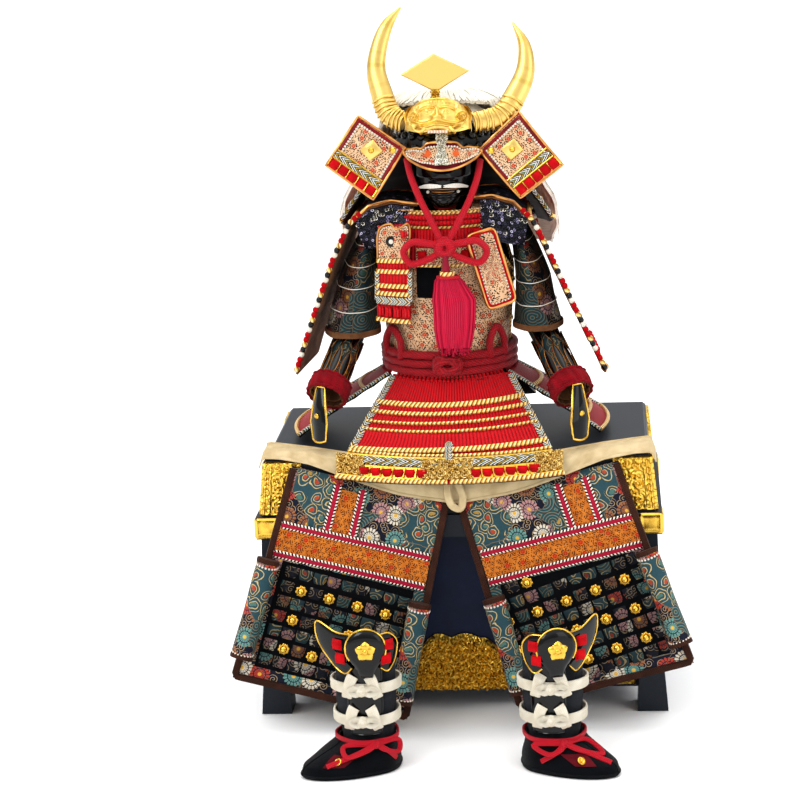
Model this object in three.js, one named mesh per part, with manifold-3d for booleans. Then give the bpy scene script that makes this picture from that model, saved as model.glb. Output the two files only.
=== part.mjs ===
// A display-size suit of samurai armour seated on its armour chest. Millimetres, +Z up, viewer at -Y.
// It is built about the middle of the chest's front edge, and the whole is moved at the end so that the
// origin lies under the middle of its bounding box, on the floor.
import * as THREE from 'three';
import { mergeVertices } from 'three/addons/utils/BufferGeometryUtils.js';
import Module from 'manifold-3d';

const wasm = await Module();
wasm.setup();

const V = (x, y, z) => new THREE.Vector3(x, y, z);
const LEFT = -1;
const RIGHT = 1;
const GAP = 0.3;

// ---- Driving sizes ----

const CHEST = {
  width: 397,
  depth: 222,
  top: 279,
  lidBottom: 218,
  flare: 6,
  lidSkin: 9,
  bodyHalf: 190,
  bodyFront: 8,
  bodyBack: 214,
  bodyBottom: 22,
  bodySkin: 8,
};
const LEDGE = { half: 211, front: -10, back: 232, bottom: 194, top: 217.7 };
const FOOT = { topOuter: 206, topInner: 187, outer: 215, inner: 183, depth: 36 };
const APRON = { half: 70, rise: 58, thick: 3 };

const BODY = { x: -10, y: 110 };
const CUIRASS = [
  { z: 352, half: 63, front: 62, back: 52 },
  { z: 380, half: 64, front: 63, back: 54 },
  { z: 420, half: 67, front: 66, back: 56 },
  { z: 460, half: 70, front: 66, back: 58 },
  { z: 490, half: 68, front: 62, back: 58 },
  { z: 525, half: 60, front: 54, back: 54 },
];
const CUIRASS_WALL = 3;
const ARMPIT = 455;
const FRONT_TOP = 524;
const BACK_TOP = 525;

const HELMET = { x: -8, y: 110, rim: 585, half: 54, deep: 60, high: 43, wall: 2.5 };
const NECK_GUARD = [
  { v: 0, half: 59, deep: 65 },
  { v: 1, half: 113, deep: 92 },
];

// Upper sleeves: the inner and outer reach along X, the front and back along Y.
const UPPER_SLEEVES = {
  [LEFT]: [
    { z: 514, inner: -66, outer: -92, front: 84, back: 132 },
    { z: 480, inner: -81, outer: -111, front: 74, back: 138 },
    { z: 450, inner: -83, outer: -124, front: 63, back: 140 },
    { z: 420, inner: -83, outer: -132, front: 55, back: 140 },
    { z: 393, inner: -82, outer: -139, front: 50, back: 138 },
  ],
  [RIGHT]: [
    { z: 514, inner: 46, outer: 71, front: 84, back: 132 },
    { z: 480, inner: 60, outer: 87, front: 74, back: 138 },
    { z: 450, inner: 62, outer: 98, front: 63, back: 140 },
    { z: 420, inner: 62, outer: 105, front: 55, back: 140 },
    { z: 397, inner: 61, outer: 111, front: 50, back: 138 },
  ],
};
const FOREARMS = {
  [LEFT]: { elbow: V(-106, 96, 404), wrist: V(-134, 26, 341) },
  [RIGHT]: { elbow: V(83, 96, 404), wrist: V(121, 26, 339) },
};
const FOREARM_RADIUS = 15.5;
const SLEEVE_WALL = 2;
const CUFF_WALL = 3.6;

// Shoulder guards, from beside the neck out over the shoulder and down.
const SHOULDER_GUARDS = {
  [LEFT]: [
    { s: 0, x: -35, z: 534, front: 62, back: 132 },
    { s: 0.13, x: -62, z: 538, front: 62, back: 133 },
    { s: 0.25, x: -86, z: 533, front: 60, back: 134 },
    { s: 0.37, x: -106, z: 515, front: 58, back: 136 },
    { s: 0.55, x: -124, z: 478, front: 57, back: 142 },
    { s: 0.78, x: -147, z: 418, front: 56, back: 150 },
    { s: 1, x: -169, z: 356, front: 55, back: 155 },
  ],
  [RIGHT]: [
    { s: 0, x: 24, z: 540, front: 62, back: 132 },
    { s: 0.13, x: 42, z: 541, front: 62, back: 133 },
    { s: 0.25, x: 64, z: 534, front: 60, back: 134 },
    { s: 0.37, x: 83, z: 514, front: 58, back: 136 },
    { s: 0.55, x: 100, z: 477, front: 57, back: 142 },
    { s: 0.78, x: 126, z: 416, front: 56, back: 150 },
    { s: 1, x: 156, z: 352, front: 55, back: 155 },
  ],
};
const GUARD_WALL = 3;
const GUARD_TURN = 10;

// Skirt panels: the middle line falls from the waist, and each panel widens as it falls.
const SKIRT_WALL = 3;
const FRONT_SKIRT = [
  { s: 0, y: 44, z: 350, half: 62, bow: 30 },
  { s: 0.7, y: -22, z: 285, half: 104, bow: 14 },
  { s: 1, y: -38, z: 258.5, half: 118.5, bow: 12 },
];
const SIDE_SKIRT = [
  { s: 0, reach: 69, z: 350, front: 78, back: 142 },
  { s: 0.5, reach: 118, z: 321, front: 68, back: 152 },
  { s: 1, reach: 168, z: 288, front: 56, back: 164 },
];
const BACK_SKIRT = [
  { s: 0, y: 170, z: 350, half: 48, bow: 12 },
  { s: 1, y: 226, z: 289, half: 84, bow: 10 },
];

// Thigh guards: the four corners of each, on a plane that leans out toward the floor.
const THIGH_GUARDS = {
  [LEFT]: { outerTop: [-170, 272], innerTop: [-9, 234], outerLow: [-236, 61], innerLow: [-56, 13] },
  [RIGHT]: { outerTop: [166, 272], innerTop: [1, 234], outerLow: [240, 72], innerLow: [60, 24] },
};
const THIGH_WALL = 3;
const BAND = { top: 0.27, low: 0.39, from: 0.01, to: 0.96, wall: 2 };
const STRIPS = {
  [LEFT]: { from: 0.31, to: 0.47, top: 0.07, low: 0.262, wall: 2 },
  [RIGHT]: { from: 0.22, to: 0.39, top: 0.07, low: 0.262, wall: 2 },
};
const PATCH_LIFT = 0.5;
const ROLL_RADIUS = 11.5;
const ROLLS = [
  { name: 'outer', u: 0.02, top: 0.42, low: 0.88 },
  { name: 'inner', u: 0.95, top: 0.46, low: 0.91 },
];

const LEGS = {
  [LEFT]: { x: -88, y: -148, kneeYaw: 0.05, kneeAhead: 29.7 },
  [RIGHT]: { x: 98, y: -148, kneeYaw: 0.3, kneeAhead: 33.5 },
};
const SHIN = [
  { z: 14, half: 24, deep: 22 },
  { z: 36, half: 26, deep: 23 },
  { z: 70, half: 30, deep: 25 },
  { z: 104, half: 30, deep: 25 },
  { z: 128, half: 29, deep: 25 },
];
const BOOT = { splay: 1.0, heel: 33, toe: 75, wide: 35, high: 33, mouth: 29, wall: 2.5, sole: 3 };

// ---- Helpers ----

const lerp = (a, b, t) => a + (b - a) * t;

// A table's row at a place along one of its columns, the others worked out between the two nearest rows.
function rowAt(table, column, place) {
  const rising = table[0][column] < table[table.length - 1][column];
  const rows = rising ? table : [...table].reverse();
  let next = rows.findIndex((row) => row[column] >= place);
  if (next < 0) next = rows.length - 1;
  if (next === 0) next = 1;
  const [low, high] = [rows[next - 1], rows[next]];
  const t = (place - low[column]) / (high[column] - low[column]);
  return Object.fromEntries(Object.keys(low).map((key) => [key, lerp(low[key], high[key], t)]));
}

// A closed body from a raw list of corner points and triangles: shared corners are merged, flat triangles
// dropped, and the faces turned outward.
function body(points, triangles) {
  const raw = new THREE.BufferGeometry();
  raw.setAttribute('position', new THREE.Float32BufferAttribute(points.flatMap((p) => [p.x, p.y, p.z]), 3));
  raw.setIndex(triangles.flat());
  const merged = mergeVertices(raw, 1e-3);
  const index = merged.index.array;
  const kept = [];
  for (let i = 0; i < index.length; i += 3) {
    const [a, b, c] = [index[i], index[i + 1], index[i + 2]];
    if (a !== b && b !== c && c !== a) kept.push([a, b, c]);
  }
  const place = merged.attributes.position;
  const corner = (i) => V(place.getX(i), place.getY(i), place.getZ(i));
  const volume = kept.reduce((sum, [a, b, c]) => sum + corner(a).dot(corner(b).cross(corner(c))), 0);
  merged.setIndex(kept.flatMap(([a, b, c]) => (volume < 0 ? [a, c, b] : [a, b, c])));
  return merged;
}

// A wall of even thickness whose visible face is point(u, v). inward(p) points to where the wall grows.
// closed joins u = 1 to u = 0, and pole draws v = 0 together to one point.
function sheet({ point, inward, wall, nu, nv, closed = false, pole = false }) {
  const columns = closed ? nu : nu + 1;
  const faces = { outer: [], inner: [] };
  const step = 1e-3;
  for (let j = 0; j <= nv; j += 1) {
    for (let i = 0; i < columns; i += 1) {
      const [u, v] = [i / nu, j / nv];
      const [u0, u1] = closed ? [u - step, u + step] : [Math.max(u - step, 0), Math.min(u + step, 1)];
      const [v0, v1] = [Math.max(v - step, 0), Math.min(v + step, 1)];
      const p = point(u, v);
      const along = point(u1, v).sub(point(u0, v));
      const down = point(u, v1).sub(point(u, v0));
      const normal = pole && j === 0 ? V(0, 0, -1) : along.cross(down).normalize();
      if (normal.dot(inward(p)) < 0) normal.negate();
      faces.outer.push(p);
      faces.inner.push(p.clone().addScaledVector(normal, wall));
    }
  }
  const shift = faces.outer.length;
  const at = (i, j) => j * columns + (closed ? i % nu : i);
  const triangles = [];
  const quad = (a, b, c, d) => triangles.push([a, b, c], [a, c, d]);
  for (let j = 0; j < nv; j += 1) {
    for (let i = 0; i < nu; i += 1) {
      const corners = [at(i, j), at(i + 1, j), at(i + 1, j + 1), at(i, j + 1)];
      quad(...corners);
      quad(...corners.map((c) => c + shift).reverse());
    }
  }
  const rim = (a, b) => quad(b, a, a + shift, b + shift);
  for (let i = 0; i < nu; i += 1) {
    if (!pole) rim(at(i, 0), at(i + 1, 0));
    rim(at(i + 1, nv), at(i, nv));
  }
  for (let j = 0; j < nv && !closed; j += 1) {
    rim(at(0, j + 1), at(0, j));
    rim(at(nu, j), at(nu, j + 1));
  }
  return body([...faces.outer, ...faces.inner], triangles);
}

// A solid through rings of equally many points, its ends closed by fans, or joined end to end.
function loft(rings, joined = false) {
  const count = rings[0].length;
  const points = rings.flat();
  const triangles = [];
  const last = joined ? rings.length : rings.length - 1;
  for (let k = 0; k < last; k += 1) {
    const base = k * count;
    const next = ((k + 1) % rings.length) * count;
    for (let i = 0; i < count; i += 1) {
      const j = (i + 1) % count;
      triangles.push([base + i, base + j, next + j], [base + i, next + j, next + i]);
    }
  }
  if (!joined) {
    for (const [ring, turned] of [[0, true], [rings.length - 1, false]]) {
      const middle = rings[ring].reduce((sum, p) => sum.add(p), V(0, 0, 0)).divideScalar(count);
      points.push(middle);
      const hub = points.length - 1;
      for (let i = 0; i < count; i += 1) {
        const [a, b] = [ring * count + i, ring * count + ((i + 1) % count)];
        triangles.push(turned ? [hub, b, a] : [hub, a, b]);
      }
    }
  }
  return body(points, triangles);
}

// A round tube along a smooth curve through the points.
function tube(points, radius, steps, sides = 8) {
  const section = new THREE.Shape(
    Array.from({ length: sides }, (_, i) => {
      const turn = (2 * Math.PI * i) / sides;
      return new THREE.Vector2(radius * Math.cos(turn), radius * Math.sin(turn));
    }),
  );
  const path = new THREE.CatmullRomCurve3(points, false, 'centripetal');
  return new THREE.ExtrudeGeometry(section, { steps, bevelEnabled: false, extrudePath: path });
}

function block(x0, x1, y0, y1, z0, z1) {
  const geometry = new THREE.BoxGeometry(x1 - x0, y1 - y0, z1 - z0);
  return geometry.translate((x0 + x1) / 2, (y0 + y1) / 2, (z0 + z1) / 2);
}

function egg(centre, radii, wide = 16, high = 10) {
  const geometry = new THREE.SphereGeometry(1, wide, high);
  return geometry.scale(radii.x, radii.y, radii.z).translate(centre.x, centre.y, centre.z);
}

// Booleans: a geometry as a manifold solid, and back.
function solid(geometry) {
  const bare = new THREE.BufferGeometry();
  bare.setAttribute('position', geometry.attributes.position);
  bare.setIndex(geometry.index);
  const merged = mergeVertices(bare, 1e-3);
  const index = merged.index.array;
  const kept = [];
  for (let i = 0; i < index.length; i += 3) {
    const [a, b, c] = [index[i], index[i + 1], index[i + 2]];
    if (a !== b && b !== c && c !== a) kept.push(a, b, c);
  }
  return new wasm.Manifold(new wasm.Mesh({
    numProp: 3,
    vertProperties: merged.attributes.position.array,
    triVerts: new Uint32Array(kept),
  }));
}
function shape(manifold) {
  const mesh = manifold.getMesh();
  const geometry = new THREE.BufferGeometry();
  geometry.setAttribute('position', new THREE.BufferAttribute(mesh.vertProperties, 3));
  geometry.setIndex(new THREE.BufferAttribute(mesh.triVerts, 1));
  return geometry;
}
const join = (...geometries) => shape(geometries.map(solid).reduce((a, b) => a.add(b)));
const cut = (geometry, ...tools) => shape(tools.map(solid).reduce((a, b) => a.subtract(b), solid(geometry)));

// ---- Finishes ----

const FINISH = {
  lacquer: { color: '#15161b', roughness: 0.2, metalness: 0 },
  chestLacquer: { color: '#22262e', roughness: 0.45, metalness: 0 },
  gilt: { color: '#d9ae3c', roughness: 0.3, metalness: 1 },
  paleGilt: { color: '#e2c873', roughness: 0.38, metalness: 1 },
  wood: { color: '#c9a877', roughness: 0.6, metalness: 0 },
  lacing: { color: '#b3131f', roughness: 0.7, metalness: 0 },
  leather: { color: '#cfa57c', roughness: 0.65, metalness: 0 },
  bandLeather: { color: '#d0803a', roughness: 0.65, metalness: 0 },
  brocade: { color: '#263338', roughness: 0.6, metalness: 0 },
  cord: { color: '#b11226', roughness: 0.6, metalness: 0 },
  rope: { color: '#6d0f1a', roughness: 0.7, metalness: 0 },
  tassel: { color: '#c22145', roughness: 0.6, metalness: 0 },
  cream: { color: '#dccba6', roughness: 0.8, metalness: 0 },
  hair: { color: '#f0efea', roughness: 0.6, metalness: 0 },
  velvet: { color: '#12151c', roughness: 0.9, metalness: 0 },
};

const armour = new THREE.Group();
function add(name, finish, geometry) {
  const mesh = new THREE.Mesh(geometry, new THREE.MeshStandardMaterial(FINISH[finish]));
  mesh.name = name;
  armour.add(mesh);
}
const side = (hand) => (hand === LEFT ? 'l' : 'r');

// ---- The armour chest and the stand ----

function chestLid() {
  const ring = (inset, z) => {
    const half = CHEST.width / 2 - inset;
    return [
      V(-half, inset, z),
      V(half, inset, z),
      V(half, CHEST.depth - inset, z),
      V(-half, CHEST.depth - inset, z),
    ];
  };
  const edge = 3;
  const cap = loft([
    ring(-CHEST.flare, CHEST.lidBottom),
    ring(0, CHEST.top - edge),
    ring(edge, CHEST.top),
  ]);
  const room = block(
    -CHEST.bodyHalf - GAP, CHEST.bodyHalf + GAP, CHEST.bodyFront - GAP, CHEST.bodyBack + GAP,
    CHEST.lidBottom - 5, CHEST.top - CHEST.lidSkin,
  );
  return cut(cap, room);
}

function chestBody() {
  const skin = CHEST.bodySkin;
  const top = CHEST.top - CHEST.lidSkin - GAP;
  return cut(
    block(-CHEST.bodyHalf, CHEST.bodyHalf, CHEST.bodyFront, CHEST.bodyBack, CHEST.bodyBottom, top),
    block(
      -CHEST.bodyHalf + skin, CHEST.bodyHalf - skin, CHEST.bodyFront + skin, CHEST.bodyBack - skin,
      CHEST.bodyBottom + skin, top + 5,
    ),
  );
}

// The ledge round the chest, with a flared foot wrapped round each of its corners.
function chestLedge() {
  const foot = (hand, y0, y1) => {
    const ring = (inner, outer, z) => [
      V(hand * inner, y0, z),
      V(hand * outer, y0, z),
      V(hand * outer, y1, z),
      V(hand * inner, y1, z),
    ];
    return loft([
      ring(FOOT.inner, FOOT.outer, 0),
      ring(FOOT.inner + 3, FOOT.outer - 5, 60),
      ring(FOOT.topInner, FOOT.topOuter, LEDGE.bottom + 2),
    ]);
  };
  const feet = [LEFT, RIGHT].flatMap((hand) => [
    foot(hand, LEDGE.front + 2, LEDGE.front + 2 + FOOT.depth),
    foot(hand, LEDGE.back - 2 - FOOT.depth, LEDGE.back - 2),
  ]);
  const ledge = block(-LEDGE.half, LEDGE.half, LEDGE.front, LEDGE.back, LEDGE.bottom, LEDGE.top);
  const room = block(
    -CHEST.bodyHalf - GAP, CHEST.bodyHalf + GAP, CHEST.bodyFront - GAP, CHEST.bodyBack + GAP,
    CHEST.bodyBottom - GAP, CHEST.top,
  );
  return cut(join(ledge, ...feet), room);
}

function chestApron() {
  const outline = new THREE.Shape();
  outline.moveTo(-APRON.half, 0);
  outline.lineTo(APRON.half, 0);
  const [wide, narrow] = [APRON.half * 0.9, APRON.half * 0.35];
  const [low, high] = [APRON.rise * 0.62, APRON.rise * 0.8];
  outline.bezierCurveTo(wide, low, narrow, high, 0, APRON.rise);
  outline.bezierCurveTo(-narrow, high, -wide, low, -APRON.half, 0);
  const plate = new THREE.ExtrudeGeometry(outline, {
    depth: APRON.thick,
    curveSegments: 8,
    bevelEnabled: false,
  });
  return plate.rotateX(Math.PI / 2).translate(-6, CHEST.bodyFront - GAP, CHEST.bodyBottom + 0.5);
}

// A plain wooden stand: base, post, shoulder bar, neck and a rounded block that carries the helmet.
function stand() {
  return join(
    block(BODY.x - 45, BODY.x + 45, BODY.y - 32, BODY.y + 32, CHEST.top + GAP, CHEST.top + 9),
    block(BODY.x - 13, BODY.x + 13, BODY.y - 13, BODY.y + 13, CHEST.top + 8, 500),
    block(BODY.x - 48, BODY.x + 48, BODY.y - 9, BODY.y + 9, 494, 512),
    block(HELMET.x - 9, HELMET.x + 9, HELMET.y - 9, HELMET.y + 9, 505, 575),
    egg(V(HELMET.x, HELMET.y, 592), V(36, 38, 28), 14, 8),
  );
}

// ---- Helmet and mask ----

function dome(half, deep, high, angle, rise) {
  const flat = Math.cos(rise);
  return V(
    HELMET.x + half * flat * Math.sin(angle),
    HELMET.y - deep * flat * Math.cos(angle),
    HELMET.rim + high * Math.sin(rise),
  );
}
function domeShell(out, wall) {
  const { half, deep, high } = HELMET;
  return sheet({
    point: (u, v) => dome(half + out, deep + out, high + out, 2 * Math.PI * u, ((1 - v) * Math.PI) / 2),
    inward: (p) => V(HELMET.x, HELMET.y, HELMET.rim - 5).sub(p),
    wall,
    nu: 20,
    nv: 6,
    closed: true,
    pole: true,
  });
}
const helmetBowl = () => domeShell(0, HELMET.wall);

// The laced neck guard: a flared apron from one temple round the back to the other.
function neckGuardPoint(angle, v) {
  const row = rowAt(NECK_GUARD, 'v', v);
  const sag = Math.cos(angle / 2) ** 2;
  const low = lerp(530, 500, Math.min(1, sag * 1.6));
  return V(
    HELMET.x + row.half * Math.sin(angle),
    HELMET.y + row.deep * Math.cos(angle),
    lerp(HELMET.rim + 1, low, v),
  );
}
function neckGuard() {
  const reach = 1.8;
  return sheet({
    point: (u, v) => neckGuardPoint(lerp(-reach, reach, u), v),
    inward: (p) => V(HELMET.x, HELMET.y, 480).sub(p),
    wall: 3,
    nu: 18,
    nv: 4,
  });
}

function visor() {
  return sheet({
    point: (u, v) => {
      const s = 2 * u - 1;
      const low = V(-7 + 40 * s, 30 + 25 * s * s, 571 + 13 * s * s);
      const high = V(-7 + 40 * s, 47 + 11 * s * s, 598 - 10 * s * s);
      return high.lerp(low, v);
    },
    inward: () => V(0, 1, -0.8),
    wall: 2,
    nu: 12,
    nv: 3,
  });
}

const WINGS = {
  [LEFT]: { inner: V(-46, 62, 591), top: V(-93, 62, 625), outer: V(-127, 48, 577), low: V(-79, 42, 541) },
  [RIGHT]: { inner: V(30, 62, 587), top: V(72, 62, 625), outer: V(116, 48, 571), low: V(72, 42, 539) },
};
function wing(hand) {
  const corner = WINGS[hand];
  return sheet({
    point: (u, v) => {
      const upper = corner.inner.clone().lerp(corner.top, u);
      const lower = corner.low.clone().lerp(corner.outer, u);
      const bulge = 4 * Math.sin(Math.PI * v);
      return upper.lerp(lower, v).add(V(0, -bulge, 0));
    },
    inward: () => V(0, 1, 0),
    wall: 3,
    nu: 2,
    nv: 5,
  });
}

const HORNS = {
  [LEFT]: [
    { x: -46, y: 66, z: 617, wide: 10, deep: 7 },
    { x: -61, y: 71, z: 625, wide: 12, deep: 7.5 },
    { x: -69, y: 77, z: 645, wide: 11.5, deep: 7 },
    { x: -74.5, y: 83, z: 668, wide: 10, deep: 6 },
    { x: -72, y: 87, z: 689, wide: 8.7, deep: 5 },
    { x: -63, y: 91, z: 713, wide: 6.5, deep: 3.6 },
    { x: -48, y: 95, z: 732, wide: 1, deep: 0.8 },
  ],
  [RIGHT]: [
    { x: 25, y: 66, z: 615, wide: 10, deep: 7 },
    { x: 54, y: 70, z: 621, wide: 12, deep: 7.5 },
    { x: 69, y: 77, z: 641, wide: 11.5, deep: 7 },
    { x: 79, y: 83, z: 664, wide: 9.8, deep: 6 },
    { x: 78.5, y: 89, z: 690, wide: 6.4, deep: 4.6 },
    { x: 67, y: 95, z: 713, wide: 1, deep: 0.8 },
  ],
};
function horn(hand) {
  const rows = HORNS[hand];
  const curve = (keys) => new THREE.CatmullRomCurve3(rows.map((row) => V(...keys.map((key) => row[key]))));
  const route = curve(['x', 'y', 'z']);
  const girth = curve(['wide', 'deep', 'deep']);
  const sides = 8;
  const steps = 12;
  const rings = [];
  for (let k = 0; k <= steps; k += 1) {
    const centre = route.getPoint(k / steps);
    const ahead = route.getTangent(k / steps);
    const size = girth.getPoint(k / steps);
    const across = ahead.clone().cross(V(0, 1, 0)).normalize();
    const depth = ahead.clone().cross(across).normalize();
    rings.push(Array.from({ length: sides }, (_, i) => {
      const turn = (2 * Math.PI * i) / sides;
      return centre.clone()
        .addScaledVector(across, size.x * Math.cos(turn))
        .addScaledVector(depth, size.y * Math.sin(turn));
    }));
  }
  return loft(rings);
}

// The lion crest's mass: a low arched block that follows the bowl behind it.
function lionCrest() {
  const half = 33;
  const outline = new THREE.Shape();
  outline.moveTo(-half, 0);
  outline.lineTo(half, 0);
  outline.bezierCurveTo(half, 20, half * 0.5, 32, 0, 33);
  outline.bezierCurveTo(-half * 0.5, 32, -half, 20, -half, 0);
  const mass = new THREE.ExtrudeGeometry(outline, {
    depth: 14,
    curveSegments: 6,
    bevelThickness: 4,
    bevelSize: 2,
    bevelOffset: -2,
    bevelSegments: 2,
  });
  mass.rotateX(Math.PI / 2).rotateX(-0.2).translate(-10.5, 58, 608);
  return cut(mass, domeShell(0.5, 30));
}

// The lozenge plate on its short stem.
function crestPlate() {
  const half = 35.5;
  const outline = new THREE.Shape();
  outline.moveTo(-half, 1.5);
  outline.lineTo(-4, -15);
  outline.lineTo(-4, -27);
  outline.lineTo(4, -27);
  outline.lineTo(4, -15);
  outline.lineTo(half, 3.5);
  outline.lineTo(-1, 22);
  const plate = new THREE.ExtrudeGeometry(outline, { depth: 2.4, bevelEnabled: false });
  plate.rotateX(Math.PI / 2).translate(-12.5, 60, 665);
  return cut(plate, lionCrest().translate(0, 0, GAP));
}

// White hair over the bowl: round the crown, short at the front, and down over the neck guard behind.
const HAIR = [
  { s: 0, half: 0, deep: 0, z: 645 },
  { s: 0.15, half: 30, deep: 28, z: 644 },
  { s: 0.3, half: 56, deep: 54, z: 634 },
  { s: 0.4, half: 65, deep: 66, z: 616 },
  { s: 0.5, half: 71, deep: 75, z: 596 },
  { s: 0.65, half: 90, deep: 86, z: 566 },
  { s: 0.8, half: 120, deep: 101, z: 522 },
  { s: 0.9, half: 126, deep: 106, z: 495 },
  { s: 1, half: 127, deep: 107, z: 472 },
];
function hair() {
  const point = (u, v) => {
    const angle = 2 * Math.PI * u;
    const behind = -Math.cos(angle);
    const sweep = THREE.MathUtils.smoothstep(behind, -0.15, 0.55);
    const reach = lerp(0.25, 1, sweep) + 0.1 * (1 - sweep) * Math.abs(Math.sin(angle)) ** 3;
    const row = rowAt(HAIR, 's', v * reach);
    const deep = row.deep * (behind > 0 ? 1 : 0.88);
    return V(HELMET.x + row.half * Math.sin(angle), HELMET.y - deep * Math.cos(angle), row.z);
  };
  return sheet({
    point,
    inward: (p) => V(HELMET.x, HELMET.y, 500).sub(p),
    wall: 4,
    nu: 24,
    nv: 9,
    closed: true,
    pole: true,
  });
}

const MASK = [
  { z: 573, half: 34, front: 41 },
  { z: 561, half: 35, front: 45 },
  { z: 550, half: 31, front: 43 },
  { z: 540, half: 26, front: 43 },
  { z: 531, half: 18, front: 39 },
  { z: 526, half: 11, front: 33 },
];
function faceMask() {
  const centre = V(-8, 95, 0);
  const reach = 1.35;
  return sheet({
    point: (u, v) => {
      const angle = lerp(-reach, reach, u);
      const row = rowAt(MASK, 'z', lerp(573, 526, v));
      return V(centre.x + row.half * Math.sin(angle), centre.y - row.front * Math.cos(angle), row.z);
    },
    inward: (p) => V(centre.x - p.x, centre.y - p.y, 0),
    wall: 2.5,
    nu: 12,
    nv: 6,
  });
}

// ---- Chin cord, bow and tassel ----

const CORD_RADIUS = 3.3;
const KNOT = V(-6.5, 34, 491);
const CORD_ROUTES = {
  [LEFT]: [V(-45, 64, 579), V(-40, 51, 562), V(-31, 43, 540), V(-20, 38, 518), V(-9, 34.5, 495)],
  [RIGHT]: [V(31, 64, 576), V(28, 51, 560), V(20, 43, 539), V(9, 38, 518), V(-4, 34.5, 495)],
};
const knotBall = (extra) => egg(KNOT, V(9.5 + extra, 5.5 + extra, 9 + extra), 10, 7);

function bowLoop(hand, extra) {
  const route = [[2, 0, 1], [18, -2, 5], [34, -1, 6], [43, 0, -4], [36, 0, -16], [18, -1, -12], [2, 0, -3]];
  return tube(route.map(([x, y, z]) => KNOT.clone().add(V(hand * x, y, z))), CORD_RADIUS + extra, 16);
}
function helmetCord(hand) {
  return cut(tube(CORD_ROUTES[hand], CORD_RADIUS, 10), knotBall(GAP), bowLoop(hand, GAP));
}
const cordBow = () => join(knotBall(0), bowLoop(LEFT, 0), bowLoop(RIGHT, 0));
const TASSEL = [
  { z: 484, half: 3, deep: 3, x: -6 },
  { z: 466, half: 5, deep: 4.5, x: -5 },
  { z: 458, half: 17, deep: 6.5, x: -3 },
  { z: 437, half: 26, deep: 7.5, x: 1 },
  { z: 405, half: 24, deep: 7, x: 1 },
  { z: 386, half: 20, deep: 6.5, x: 1 },
];
function tassel() {
  const rings = TASSEL.map((row) => Array.from({ length: 12 }, (_, i) => {
    const turn = (2 * Math.PI * i) / 12;
    return V(row.x + row.half * Math.cos(turn), 29 + row.deep * Math.sin(turn), row.z);
  }));
  return cut(loft(rings), knotBall(GAP));
}

// ---- Cuirass ----

function cuirassPoint(angle, z, out = 0) {
  const row = rowAt(CUIRASS, 'z', z);
  const deep = Math.cos(angle) > 0 ? row.front : row.back;
  return V(BODY.x + (row.half + out) * Math.sin(angle), BODY.y - (deep + out) * Math.cos(angle), z);
}
const toAxis = (p) => V(BODY.x - p.x, BODY.y - p.y, 0);
function cuirassHalf(front) {
  const seam = Math.PI / 2 - 0.006;
  const [top, narrow] = front ? [FRONT_TOP, 0.62] : [BACK_TOP, 0.85];
  return sheet({
    point: (u, v) => {
      const z = lerp(top, CUIRASS[0].z, v);
      const rise = Math.max(0, (z - ARMPIT) / (top - ARMPIT));
      const reach = lerp(seam, narrow, Math.sqrt(rise));
      const angle = lerp(-reach, reach, u);
      return cuirassPoint(front ? angle : Math.PI + angle, z);
    },
    inward: toAxis,
    wall: CUIRASS_WALL,
    nu: 14,
    nv: 8,
  });
}

// The laced plate across the upper chest, on the cuirass and moved out.
function chestPlate() {
  const out = 3.8;
  return sheet({
    point: (u, v) => {
      const z = lerp(524.8, 470, v);
      const row = rowAt(CUIRASS, 'z', z);
      const half = lerp(44, 46, v);
      const angle = Math.asin((half * (2 * u - 1)) / (row.half + out));
      return cuirassPoint(angle, z, out);
    },
    inward: toAxis,
    wall: 3,
    nu: 8,
    nv: 3,
  });
}

function shoulderStrap(hand) {
  const middle = BODY.x + hand * 38;
  return sheet({
    point: (u, v) => V(middle + 8 * (2 * u - 1), lerp(60, 161, v), 527 + Math.sin(Math.PI * v)),
    inward: () => V(0, 0, -1),
    wall: 1.8,
    nu: 1,
    nv: 5,
  });
}

const BREAST_PLATES = {
  [LEFT]: [V(-77, 56, 512), V(-43, 43.5, 515), V(-45, 40, 411), V(-81, 53, 413)],
  [RIGHT]: [V(15, 42, 501), V(44, 46, 509), V(65, 51, 431), V(36, 42, 423)],
};
function breastPlate(hand) {
  const [topLeft, topRight, lowRight, lowLeft] = BREAST_PLATES[hand];
  return sheet({
    point: (u, v) => topLeft.clone().lerp(topRight, u).lerp(lowLeft.clone().lerp(lowRight, u), v),
    inward: () => V(0, 1, 0),
    wall: 2.5,
    nu: 2,
    nv: 4,
  });
}

// The rope wound three times round the waist, with its knot and the two loops tucked in above it.
function waistRope() {
  const strand = 4.3;
  const profile = [{ out: 0.8, z: 353 }];
  for (let turn = 0; turn < 3; turn += 1) {
    for (const swing of [-1.1, 0, 1.1]) {
      profile.push({ out: 5 + strand * Math.cos(swing), z: 357.2 + 8.6 * turn + strand * Math.sin(swing) });
    }
  }
  profile.push({ out: 0.8, z: 378.6 });
  const rings = Array.from({ length: 32 }, (_, i) => {
    const angle = (2 * Math.PI * i) / 32;
    return profile.map((p) => cuirassPoint(angle, p.z, p.out));
  });
  const onCuirass = (x, z, out) => {
    const row = rowAt(CUIRASS, 'z', z);
    return cuirassPoint(Math.asin((x - BODY.x) / (row.half + out)), z, out);
  };
  const loop = (x0, x1) => tube([
    onCuirass(x0, 374, 5),
    onCuirass(x0, 390, 6),
    onCuirass((x0 + x1) / 2, 401, 6),
    onCuirass(x1, 390, 6),
    onCuirass(x1, 374, 5),
  ], 3.6, 12);
  return join(loft(rings, true), loop(-74, -58), loop(36, 50), egg(V(-8, 38.5, 366), V(14, 6, 9), 12, 8));
}

// ---- Skirt panels ----

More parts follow.
